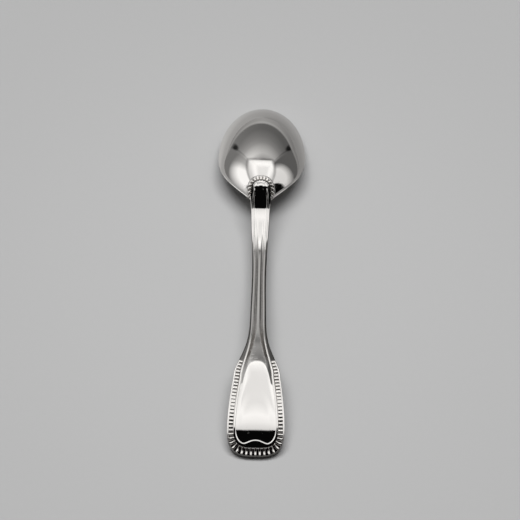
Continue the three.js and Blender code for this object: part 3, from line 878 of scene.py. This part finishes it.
# Half-round wires
def lay_wire(bm, path, width, low, high, place, fade, tarnish_and_shade=0.0, ridge=steady(0)):
    """A half-round wire along a path, or a sharp ridge, which fades away over its two ends."""
    reach = travelled(path, steady(1))
    rings = []
    for i, point in enumerate(path):
        run = (path[min(len(path) - 1, i + 1)] - path[max(0, i - 1)]).normalized()
        swell = sqrt(clamp(min(reach[i], reach[-1] - reach[i]) / fade))
        half = width(point.y) / 2 * mix(WIRE_TIP_SHARE, 1, swell)
        ring = []
        for j in range(WIRE_STEPS + 1):
            turn = pi * j / WIRE_STEPS
            offset = half * cos(turn)
            crown = mix(sin(turn), 1 - abs(cos(turn)), ridge(point.y))
            height = mix(low(point.y), high(point.y), crown * swell)
            ring.append((place(point.x - run.y * offset, point.y + run.x * offset, height), tarnish_and_shade))
        for foot in (-half, half):
            bottom = place(point.x - run.y * foot, point.y + run.x * foot, low(point.y) - SINK)
            ring.append((bottom, max(tarnish_and_shade, WIRE_FOOT_STAIN)))
        rings.append(ring)
    loft(bm, rings)


def thread_path(start_y):
    path = []
    steps = round(max(0, start_y - NECK_Y) / THREAD_STEP)
    for i in range(steps):
        y = mix(start_y, NECK_Y, i / steps)
        path.append(Vector((handle_half_width(y) - thread_inset(y), y)))
    for point, inward in handle_outline(NECK_Y, THREAD_STEP, END_STEPS):
        path.append(point + inward * wave_inset(point))
    return both_sides(path)


def thread_bottom(y):
    return -thread_seat(y)


def make_thread(name, finish, node, start_y, place):
    bm = bmesh.new()
    path = thread_path(start_y)
    lay_wire(bm, path, thread_width, thread_bottom, thread_rise, place, THREAD_FADE, ridge=wave_share)
    finish_piece(bm, name, finish, node)


# Bead borders: rounded bars laid square across a path
def spaced_places(path, lengths, pace):
    """Where each bead along a path lies, the direction of the path there, its length and its pitch."""
    reach = travelled(path, pace)
    count = round(reach[-1])
    places = []
    segment = 0
    for i in range(count):
        wanted = reach[-1] * (i + 0.5) / count
        while reach[segment + 1] < wanted:
            segment += 1
        start, end = path[segment], path[segment + 1]
        share = (wanted - reach[segment]) / (reach[segment + 1] - reach[segment])
        length = mix(lengths[segment], lengths[segment + 1], share)
        middle = start.lerp(end, share)
        places.append((middle, (end - start).normalized(), length, pace(middle) * reach[-1] / count))
    return places


def squared(part):
    return copysign(abs(part) ** (2 / BEAD_SQUARENESS), part)


def lay_bead(bm, bead, bar_share, low, high, tilt, shade, place):
    """A rounded bar that may rise towards its outer end and carry painted shade at its inner end, with
    tarnish low on its flanks.
    """
    middle, run, length, pitch = bead
    tarnish_and_shade = tarnish_and_shade_layer(bm)
    made = bmesh.ops.create_uvsphere(bm, u_segments=BEAD_SIDES, v_segments=BEAD_RINGS, radius=1)
    for corner in made["verts"]:
        lengthwise = corner.co.z
        full = (1 - min(1, abs(lengthwise)) ** BEAD_FULLNESS) ** (1 / BEAD_FULLNESS)
        thin = max(TINY, hypot(corner.co.x, corner.co.y))
        sideways = full * squared(corner.co.x / thin) * pitch * bar_share / 2
        lift = full * squared(corner.co.y / thin)
        across = lengthwise * length / 2
        x = middle.x + run.x * sideways - run.y * across
        y = middle.y + run.y * sideways + run.x * across
        inner_shade = shade * clamp(BEAD_SHADE_FALL * lengthwise + BEAD_SHADE_START)
        corner[tarnish_and_shade] = clamp(max(inner_shade, (BEAD_STAIN_TOP - lift) * BEAD_STAIN))
        corner.co = place(x, y, mix(low, high + tilt * clamp(-lengthwise), lift))


def bead_pace(place):
    return mix(SIDE_BEAD_PITCH, END_BEAD_PITCH, ease((WIDE_Y - place.y) / BEAD_WIDEN_RUN))


def bead_places():
    path = []
    lengths = []
    for point, inward in handle_outline(BEADS_Y, BLADE_STEP, END_STEPS):
        inner = channel_inset(point)
        path.append(point + inward * (rim_inset(point) + inner) / 2)
        lengths.append(inner - rim_inset(point))
    return spaced_places(both_sides(path), lengths[:-1] + lengths[::-1], bead_pace)


def make_bead_border(name, finish, node, place):
    bm = bmesh.new()
    for bead in bead_places():
        end = end_share(bead[0])
        side_share = mix(BEAD_BAR_SHARE, WORN_BAR_SHARE, side_wear(bead[0]))
        bar_share = mix(side_share, END_BAR_SHARE, end)
        # Painted shade on the inner ends of the bars round the end
        tilt, shade = END_BEAD_TILT * end, END_BEAD_SHADE * end
        lay_bead(bm, bead, bar_share, -channel_depth(bead[0]), BEAD_TOP, tilt, shade, place)
    finish_piece(bm, name, finish, node)


HEEL_BEAD_MIDDLE = HEEL_GAP + HEEL_BEAD_LENGTH / 2
HEEL_THREAD_MIDDLE = HEEL_BEAD_MIDDLE + (HEEL_BEAD_LENGTH + HEEL_THREAD_WIDTH) / 2 + HEEL_THREAD_GAP


def horseshoe(outside, run):
    half = TONGUE_WIDTH / 2 + outside
    steps = HORSESHOE_LEG_STEPS
    right = [Vector((half, TONGUE_TURN_Y - run * (1 - i / steps))) for i in range(steps)]
    right += [tongue_turn(pi / 2 * i / HORSESHOE_STEPS, outside) for i in range(HORSESHOE_STEPS + 1)]
    return both_sides(right)


def make_heel_beads(finish):
    bm = bmesh.new()
    path = horseshoe(HEEL_BEAD_MIDDLE, HEEL_BEAD_RUN)
    for bead in spaced_places(path, [HEEL_BEAD_LENGTH] * len(path), steady(HEEL_BEAD_PITCH)):
        lay_bead(bm, bead, HEEL_BAR_SHARE, -SINK, HEEL_BEAD_HEIGHT, 0, 0, on_bowl)
    width = steady(HEEL_BEAD_LENGTH * HEEL_GROUND_SHARE)
    high = steady(HEEL_GROUND_RISE)
    lay_wire(bm, path, width, steady(0), high, on_bowl, HEEL_THREAD_FADE, HEEL_GROUND_STAIN)
    finish_piece(bm, "heel_beads", finish, "heel_bead_border")


def make_heel_thread(finish):
    bm = bmesh.new()
    path = horseshoe(HEEL_THREAD_MIDDLE, HEEL_THREAD_RUN)
    width = steady(HEEL_THREAD_WIDTH)
    high = steady(HEEL_THREAD_HEIGHT)
    lay_wire(bm, path, width, steady(0), high, on_bowl, HEEL_THREAD_FADE)
    finish_piece(bm, "heel_wire", finish, "heel_thread")


# Finishes
class Wiring:
    """Short words for the nodes of one finish or of the surroundings."""

    def __init__(self, tree):
        self.tree = tree

    def node(self, kind, inputs=None, **settings):
        made = self.tree.nodes.new(kind)
        for name, value in settings.items():
            setattr(made, name, value)
        for name, value in (inputs or {}).items():
            self.feed(made.inputs[name], value)
        return made

    def feed(self, socket, value):
        if isinstance(value, bpy.types.NodeSocket):
            self.tree.links.new(value, socket)
        else:
            socket.default_value = value

    def math(self, operation, first, second=0.0):
        return self.node("ShaderNodeMath", {0: first, 1: second}, operation=operation).outputs[0]

    def add(self, first, second):
        return self.math("ADD", first, second)

    def less(self, first, second):
        return self.math("SUBTRACT", first, second)

    def times(self, first, second):
        return self.math("MULTIPLY", first, second)

    def over(self, first, second):
        return self.math("DIVIDE", first, second)

    def size(self, value):
        return self.math("ABSOLUTE", value)

    def distance(self, place, start=(0, 0, 0)):
        return self.node("ShaderNodeVectorMath", {0: place, 1: start}, operation="DISTANCE").outputs["Value"]

    def step(self, value, low, high, start=0.0, end=1.0):
        inputs = {"Value": value, "From Min": low, "From Max": high, "To Min": start, "To Max": end}
        made = self.node("ShaderNodeMapRange", inputs, interpolation_type="SMOOTHSTEP")
        return made.outputs["Result"]

    def step_straight(self, value, low, high):
        inputs = {"Value": value, "From Min": low, "From Max": high}
        return self.node("ShaderNodeMapRange", inputs).outputs["Result"]

    def profile(self, value, stops):
        """A level that follows a value through a few stops."""
        low, high = stops[0][0], stops[-1][0]
        ramp = self.node("ShaderNodeValToRGB", {"Fac": self.step_straight(value, low, high)})
        marks = ramp.color_ramp.elements
        marks.remove(marks[1])
        for i, (place, level) in enumerate(stops):
            position = (place - low) / (high - low)
            mark = marks.new(position) if i else marks[0]
            mark.position = position
            mark.color = (level, level, level, 1)
        return ramp.outputs["Color"]

    def blend(self, share, first, second):
        made = self.node("ShaderNodeMix", {"Factor": share, "A": first, "B": second}, data_type="FLOAT")
        return made.outputs["Result"]

    def tint(self, share, first, second):
        made = self.node("ShaderNodeMix", {"Factor": share, 6: first, 7: second}, data_type="RGBA")
        return made.outputs[2]

    def noise(self, place, scale, detail, stretch=(1, 1, 1), turn=(0, 0, 0)):
        mapped = self.node("ShaderNodeMapping", {"Vector": place, "Scale": stretch, "Rotation": turn})
        inputs = {"Vector": mapped.outputs[0], "Scale": scale, "Detail": detail}
        return self.node("ShaderNodeTexNoise", inputs).outputs["Fac"]


def new_finish(name):
    finish = bpy.data.materials.new(name)
    finish.use_nodes = True
    finish.node_tree.nodes.clear()
    return finish, Wiring(finish.node_tree)


# Silver, with each noise as its scale and detail
# The dark colours stand for tarnish in the hollows and also for painted shade on edges and flat parts
POLISHED_CLEAN = (0.95, 0.925, 0.895)
POLISHED_TARNISH_AND_SHADE = (0.1, 0.092, 0.084)
POLISHED_ROUGHNESS = 0.012
BEAD_CLEAN = (0.93, 0.9, 0.865)
BEAD_TARNISH_AND_SHADE = (0.09, 0.076, 0.066)
BEAD_ROUGHNESS = 0.06
TARNISH_AND_SHADE_ROUGHNESS = 0.18
HAZE_NOISE = (90, 4)
HAZE_BAND = (0.35, 0.7)
HAZE_ROUGHNESS = 0.03
MOTTLE_NOISE = (900, 3)
MOTTLE_BAND = (0.2, 0.6)
MOTTLE_LEVELS = (0.88, 1.06)
SCRATCH_NOISE = (300, 2)
SCRATCH_STRETCH = 14
LENGTHWISE_TURN = radians(12)
LENGTHWISE_BAND = (0.62, 0.7)
CROSSWISE_TURN = radians(-25)
CROSSWISE_BAND = (0.64, 0.72)
SCRATCH_ROUGHNESS = 0.02
SCRATCH_BUMP = 0.03
SCRATCH_DEPTH = 0.00005


def silver_finish(name, clean, tarnish_and_shade_colour, clean_roughness):
    """Silver with hairline scratches, a faint haze, and a dark colour for tarnish and for painted shade
    where the piece is darkened.
    """
    finish, wire = new_finish(name)
    place = wire.node("ShaderNodeTexCoord").outputs["Object"]
    # The darkening layer: tarnish in the hollows and painted shade
    tarnish_and_shade = wire.node("ShaderNodeAttribute", attribute_name="tarnish_and_shade").outputs["Fac"]
    haze = wire.noise(place, *HAZE_NOISE)
    mottle = wire.noise(place, *MOTTLE_NOISE)
    lengthwise = wire.noise(place, *SCRATCH_NOISE, (SCRATCH_STRETCH, 1, 1), (0, 0, LENGTHWISE_TURN))
    crosswise = wire.noise(place, *SCRATCH_NOISE, (1, SCRATCH_STRETCH, 1), (0, 0, CROSSWISE_TURN))
    scratches = wire.add(wire.step(lengthwise, *LENGTHWISE_BAND), wire.step(crosswise, *CROSSWISE_BAND))
    dark = wire.math("MINIMUM", wire.times(tarnish_and_shade, wire.step(mottle, *MOTTLE_BAND, *MOTTLE_LEVELS)), 1.0)
    colour = wire.tint(dark, (*clean, 1), (*tarnish_and_shade_colour, 1))
    polish = wire.step(haze, *HAZE_BAND, clean_roughness, clean_roughness + HAZE_ROUGHNESS)
    polish = wire.add(polish, wire.times(scratches, SCRATCH_ROUGHNESS))
    roughness = wire.blend(dark, polish, TARNISH_AND_SHADE_ROUGHNESS)
    marks = {"Strength": SCRATCH_BUMP, "Distance": SCRATCH_DEPTH, "Height": scratches}
    bump = wire.node("ShaderNodeBump", marks).outputs[0]
    shader = wire.node(
        "ShaderNodeBsdfPrincipled",
        {"Base Color": colour, "Metallic": 1.0, "Roughness": roughness, "Normal": bump},
    )
    wire.node("ShaderNodeOutputMaterial", {"Surface": shader.outputs[0]})
    return finish


# Floor, in metres
FLOOR_HALF = 1.5
PAPER_LEVEL = 0.485
PAPER_NOISE = (600, 3)
PAPER_GRAIN = 0.02
# Painted shade: the paper darkens a little away from the middle
PAPER_SHADE_RUN = (0.03, 0.16)
PAPER_FAR_SHADE_LEVEL = 0.93
# Painted shade in the reflection: the paper as the silver mirrors it is darker, less so near the bowl and
# more on the right
MIRRORED_FROM = (-0.012, 0.045, 0)
MIRRORED_FADE = (0.012, 0.05)
MIRRORED_SHADE_LEVELS = (0.45, 0.35)
MIRRORED_ASIDE = (-0.03, 0.05)
MIRRORED_ASIDE_SHADE = 0.7


def paper_finish():
    """Pale grey paper with painted shade: a little darker far from the middle, and darker where the silver
    mirrors it, less so near the bowl and more on the right.
    """
    finish, wire = new_finish("pale_paper")
    place = wire.node("ShaderNodeTexCoord").outputs["Object"]
    grain = wire.add(wire.times(wire.noise(place, *PAPER_NOISE), PAPER_GRAIN), 1.0)
    # Painted shade where the silver mirrors the paper
    mirrored_shade = wire.step(wire.distance(place, MIRRORED_FROM), *MIRRORED_FADE, *MIRRORED_SHADE_LEVELS)
    aside = wire.node("ShaderNodeSeparateXYZ", {0: place}).outputs["X"]
    mirrored_shade = wire.times(mirrored_shade, wire.step(aside, *MIRRORED_ASIDE, 1.0, MIRRORED_ASIDE_SHADE))
    glossy = wire.node("ShaderNodeLightPath").outputs["Is Glossy Ray"]
    level = wire.times(wire.blend(glossy, PAPER_LEVEL, mirrored_shade), grain)
    # Painted shade away from the middle
    colour = wire.times(level, wire.step(wire.distance(place), *PAPER_SHADE_RUN, 1.0, PAPER_FAR_SHADE_LEVEL))
    shader = wire.node("ShaderNodeBsdfDiffuse", {"Color": colour, "Roughness": 0.0})
    wire.node("ShaderNodeOutputMaterial", {"Surface": shader.outputs[0]})
    return finish


def make_floor():
    bm = bmesh.new()
    bmesh.ops.create_grid(bm, x_segments=1, y_segments=1, size=FLOOR_HALF)
    new_object(bm, "floor", paper_finish())


# Light tent, by direction
DEGREES = 180 / pi
LEAST_CLIMB = 0.001
MIDDLE_BLUR = 0.02

FAR_WALL_LEVELS = [
    (12, 0.115), (19, 0.115), (29, 0.17), (36, 0.235), (41, 0.34), (46, 0.44), (49, 0.48),
    (52, 0.42), (58, 0.26),
]
FAR_WALL_DRIFT = -0.009
FAR_WALL_SPREAD = 0.004
LEFT_WALL = SimpleNamespace(
    levels=[(-100, 1.0), (-72, 1.0), (-64, 0.7), (-56, 0.42), (-44, 0.36)],
    foot_level=0.17, foot_rise=51.471, foot_climb=0.57, lit_over=20, lit_ease=0.9,
)
RIGHT_WALL = SimpleNamespace(
    levels=[(44, 0.34), (52, 0.48), (65, 0.74), (100, 0.68)],
    foot_level=0.1, foot_rise=105.5, foot_climb=-1.2, lit_over=18, lit_ease=1.0,
)
CORNER_TURN = (40, 47)
CORNER_SPOT = (39.5, 14)
CORNER_SPOT_FLATNESS = 0.38
CORNER_SPOT_EDGE = (1.2, 4)
CORNER_SPOT_LEVEL = 0.12
CORNER_LINE_BEARING = 41
CORNER_LINE_EDGE = (0.3, 1.6)
CORNER_LINE_LEVEL = 0.7
SKIRTING_RISE = 10.5
SKIRTING_LEAN = 0.06
SKIRTING_BOW = 4.5
SKIRTING_SPAN = 44
SKIRTING_BLUR = 1.5
LOW_BAND_LEVELS = [(-12, 0.31), (-5, 0.32), (-2, 0.39), (0, 0.36)]
LOW_BAND_SIDES = [(-90, 0.6), (-36, 0.72), (0, 1.0), (36, 0.62), (90, 0.5)]

CEILING_START = (0.2, 0.35)
LEFT_EDGE = 1.08
LEFT_EDGE_LEAN = 0.62
RIGHT_EDGE = 1.12
RIGHT_EDGE_LEAN = 0.95
SIDE_EDGE_BLUR = 0.1
FAR_EDGE = 0.635
FAR_EDGE_BOW = 0.6
FAR_EDGE_LEAN = 0.03
FAR_EDGE_BLUR = 0.02
FAR_SEAM_WIDTH = 0.07
SIDE_SEAM_WIDTH = 0.17
SEAM_SHADE = 0.45
LAMP_ASIDE = 0.08
LAMP_AHEAD = 0.31
LAMP_HALF_WIDTH = 0.42
LAMP_HALF_LENGTH = 0.22
LAMP_LEVELS = [(0, 0.8), (0.5, 0.8), (0.95, 1.0), (1.3, 0.9), (1.7, 0.7), (2.4, 0.6)]

OPENING_LEAN = 0.075
OPENING_LEFT_PUSH = 0.26
OPENING_RIGHT_PUSH = 0.185
OPENING_BLUR = 0.012
OPENING_LEVEL = 0.002
FRONT_WALL_LEVEL = 0.3
FRONT_WALL_START = (1.15, 1.6)
FRONT_WALL_SIDE = -0.3

CEILING_LIGHT = 5.8
CEILING_LIGHT_RUN = (0.05, 0.6)
CEILING_LIGHT_SHARES = (0.14, 2.3)
WALL_LIGHT = 0.2


def tent_directions(wire):
    """Rise and bearing in degrees, and how far aside and ahead a direction goes for a climb of 1."""
    toward = wire.node("ShaderNodeTexCoord").outputs["Generated"]
    axes = wire.node("ShaderNodeSeparateXYZ", {0: toward}).outputs
    look = SimpleNamespace(x=axes["X"], y=axes["Y"], z=axes["Z"])
    look.up = wire.math("MAXIMUM", look.z, LEAST_CLIMB)
    look.aside = wire.over(look.x, look.up)
    look.aside_out = wire.size(look.aside)
    look.ahead = wire.over(look.y, look.up)
    look.rise = wire.times(wire.math("ARCSINE", look.z), DEGREES)
    look.bearing = wire.times(wire.math("ARCTAN2", look.x, look.y), DEGREES)
    look.bearing_out = wire.size(look.bearing)
    look.is_right = wire.step(look.x, -MIDDLE_BLUR, MIDDLE_BLUR)
    return look


def far_wall_level(wire, look):
    drift = wire.add(wire.times(look.bearing, FAR_WALL_DRIFT), wire.times(look.bearing_out, FAR_WALL_SPREAD))
    return wire.times(wire.profile(look.rise, FAR_WALL_LEVELS), wire.add(drift, 1.0))


def side_wall_level(wire, look, wall):
    """A side wall, which is lit above a slanting line and dark at its foot."""
    foot = wire.add(wire.times(look.bearing, wall.foot_climb), wall.foot_rise)
    lit = wire.step_straight(wire.over(wire.less(look.rise, foot), wall.lit_over), 0, 1)
    lit = wire.math("POWER", lit, wall.lit_ease)
    return wire.blend(lit, wall.foot_level, wire.profile(look.bearing, wall.levels))


def corner_shade(wire, look):
    """A dark spot low in each far corner and a faint line up it."""
    bearing, rise = CORNER_SPOT
    flat_rise = wire.times(wire.less(look.rise, rise), CORNER_SPOT_FLATNESS)
    from_spot = wire.node("ShaderNodeCombineXYZ", {0: wire.less(look.bearing_out, bearing), 1: flat_rise})
    spot = wire.step(wire.distance(from_spot.outputs[0]), *CORNER_SPOT_EDGE, CORNER_SPOT_LEVEL, 1.0)
    from_line = wire.size(wire.less(look.bearing_out, CORNER_LINE_BEARING))
    return wire.times(spot, wire.step(from_line, *CORNER_LINE_EDGE, CORNER_LINE_LEVEL, 1.0))


def tent_walls(wire, look):
    left = side_wall_level(wire, look, LEFT_WALL)
    right = side_wall_level(wire, look, RIGHT_WALL)
    sides = wire.blend(look.is_right, left, right)
    walls = wire.blend(wire.step(look.bearing_out, *CORNER_TURN), far_wall_level(wire, look), sides)
    walls = wire.times(walls, corner_shade(wire, look))
    bow = wire.math("POWER", wire.over(look.bearing_out, SKIRTING_SPAN), 2.0)
    skirting = wire.add(wire.times(look.bearing, SKIRTING_LEAN), SKIRTING_RISE)
    skirting = wire.less(skirting, wire.times(bow, SKIRTING_BOW))
    above_floor = wire.less(look.rise, skirting)
    low_band = wire.profile(above_floor, LOW_BAND_LEVELS)
    low_band = wire.times(low_band, wire.profile(look.bearing, LOW_BAND_SIDES))
    return wire.blend(wire.step(above_floor, -SKIRTING_BLUR, SKIRTING_BLUR), low_band, walls)


def ceiling_gaps(wire, look):
    """How far inside the ceiling's side edges, and inside its bowed far edge, a direction lies."""
    left = wire.less(LEFT_EDGE, wire.times(look.ahead, LEFT_EDGE_LEAN))
    right = wire.less(RIGHT_EDGE, wire.times(look.ahead, RIGHT_EDGE_LEAN))
    side_gap = wire.less(wire.blend(look.is_right, left, right), look.aside_out)
    bowed = wire.add(wire.times(wire.math("POWER", look.aside_out, 2.0), FAR_EDGE_BOW), 1.0)
    far_edge = wire.times(wire.math("SQRT", bowed), FAR_EDGE)
    return side_gap, wire.less(far_edge, wire.add(look.ahead, wire.times(look.aside, FAR_EDGE_LEAN)))


def ceiling_level(wire, look):
    """The ceiling, with a square lamp whose edge is brighter than its middle."""
    aside = wire.over(wire.size(wire.less(look.aside, LAMP_ASIDE)), LAMP_HALF_WIDTH)
    ahead = wire.over(wire.size(wire.less(look.ahead, LAMP_AHEAD)), LAMP_HALF_LENGTH)
    return wire.profile(wire.math("MAXIMUM", aside, ahead), LAMP_LEVELS)


def seam_shade(wire, side_gap, far_gap):
    """The dark seams along the ceiling's far edge and its sides."""
    from_far = wire.size(wire.add(far_gap, FAR_EDGE_BLUR))
    far_seam = wire.step(from_far, 0.0, FAR_SEAM_WIDTH, SEAM_SHADE, 0.0)
    far_seam = wire.times(far_seam, wire.step(side_gap, -SIDE_EDGE_BLUR, SIDE_EDGE_BLUR))
    side_seam = wire.step(wire.size(side_gap), 0.0, SIDE_SEAM_WIDTH, SEAM_SHADE, 0.0)
    side_seam = wire.times(side_seam, wire.step(far_gap, -SIDE_EDGE_BLUR, 0.0))
    return wire.math("MAXIMUM", far_seam, side_seam)


def tent_front(wire, look):
    """Where the tent begins, and what lies before it: a dark opening over a low grey wall."""
    x_out = wire.size(look.x)
    low_down = wire.math("POWER", wire.less(1.0, look.up), 2.0)
    pushed = wire.times(x_out, wire.blend(look.is_right, OPENING_LEFT_PUSH, OPENING_RIGHT_PUSH))
    near = wire.add(wire.add(look.y, wire.times(look.z, OPENING_LEAN)), wire.times(pushed, low_down))
    behind = wire.over(look.y, wire.times(look.up, -1.0))
    straight = wire.step(wire.add(x_out, look.y), FRONT_WALL_SIDE, 0.0, 1.0, 0.0)
    is_wall = wire.times(wire.step(behind, *FRONT_WALL_START), straight)
    front = wire.blend(is_wall, OPENING_LEVEL, FRONT_WALL_LEVEL)
    return wire.step(near, -OPENING_BLUR, OPENING_BLUR), front


def make_light_tent():
    """A white tent, mirrored as it is. As a light, its ceiling is stronger than its walls."""
    world = bpy.data.worlds.new("light_tent")
    bpy.context.scene.world = world
    world.use_nodes = True
    world.node_tree.nodes.clear()
    wire = Wiring(world.node_tree)
    look = tent_directions(wire)
    side_gap, far_gap = ceiling_gaps(wire, look)
    above = wire.step(look.z, *CEILING_START)
    in_sides = wire.step(side_gap, -SIDE_EDGE_BLUR, SIDE_EDGE_BLUR)
    ceiling_share = wire.times(in_sides, wire.step(far_gap, -FAR_EDGE_BLUR, FAR_EDGE_BLUR))
    ceiling_share = wire.times(ceiling_share, above)
    room = wire.blend(ceiling_share, tent_walls(wire, look), ceiling_level(wire, look))
    seams = wire.times(seam_shade(wire, side_gap, far_gap), above)
    room = wire.times(room, wire.less(1.0, seams))
    inside, front = tent_front(wire, look)
    room = wire.blend(inside, front, room)

    path = wire.node("ShaderNodeLightPath").outputs
    seen = wire.math("MAXIMUM", path["Is Camera Ray"], path["Is Glossy Ray"])
    overhead = wire.times(wire.step(look.ahead, *CEILING_LIGHT_RUN, *CEILING_LIGHT_SHARES), CEILING_LIGHT)
    strength = wire.blend(seen, wire.blend(ceiling_share, WALL_LIGHT, overhead), 1.0)
    light = wire.node("ShaderNodeBackground", {"Color": room, "Strength": strength})
    wire.node("ShaderNodeOutputWorld", {"Surface": light.outputs[0]})


# Camera, in metres
CAMERA_RISE = radians(56)
CAMERA_TURN = radians(1.05)
CAMERA_DISTANCE = 0.6
CAMERA_TARGET = Vector((0.00012, 0.0052, 0))
CAMERA_LENS = 118.7
CAMERA_CLIP = (0.01, 20)


def make_camera():
    camera = bpy.data.cameras.new("camera")
    camera.lens = CAMERA_LENS
    camera.clip_start, camera.clip_end = CAMERA_CLIP
    holder = bpy.data.objects.new("camera", camera)
    flat = cos(CAMERA_RISE)
    back = Vector((sin(CAMERA_TURN) * flat, -cos(CAMERA_TURN) * flat, sin(CAMERA_RISE)))
    holder.location = CAMERA_TARGET + back * CAMERA_DISTANCE
    holder.rotation_euler = (-back).to_track_quat("-Z", "Y").to_euler()
    bpy.context.scene.collection.objects.link(holder)
    bpy.context.scene.camera = holder


polished = silver_finish("polished_silver_finish", POLISHED_CLEAN, POLISHED_TARNISH_AND_SHADE, POLISHED_ROUGHNESS)
beaded_silver = silver_finish("bead_silver_finish", BEAD_CLEAN, BEAD_TARNISH_AND_SHADE, BEAD_ROUGHNESS)

make_bowl(polished)
make_stem(polished)
make_blade(polished)
make_thread("back_wire", polished, "back_thread", NECK_Y + THREAD_LAP, on_back)
make_thread("front_wire", polished, "front_thread", NECK_Y, on_front)
make_bead_border("back_beads", beaded_silver, "back_bead_border", on_back)
make_bead_border("front_beads", beaded_silver, "front_bead_border", on_front)
make_heel_beads(beaded_silver)
make_heel_thread(polished)
make_floor()
make_light_tent()
make_camera()

bpy.context.scene.view_settings.view_transform = "Standard"
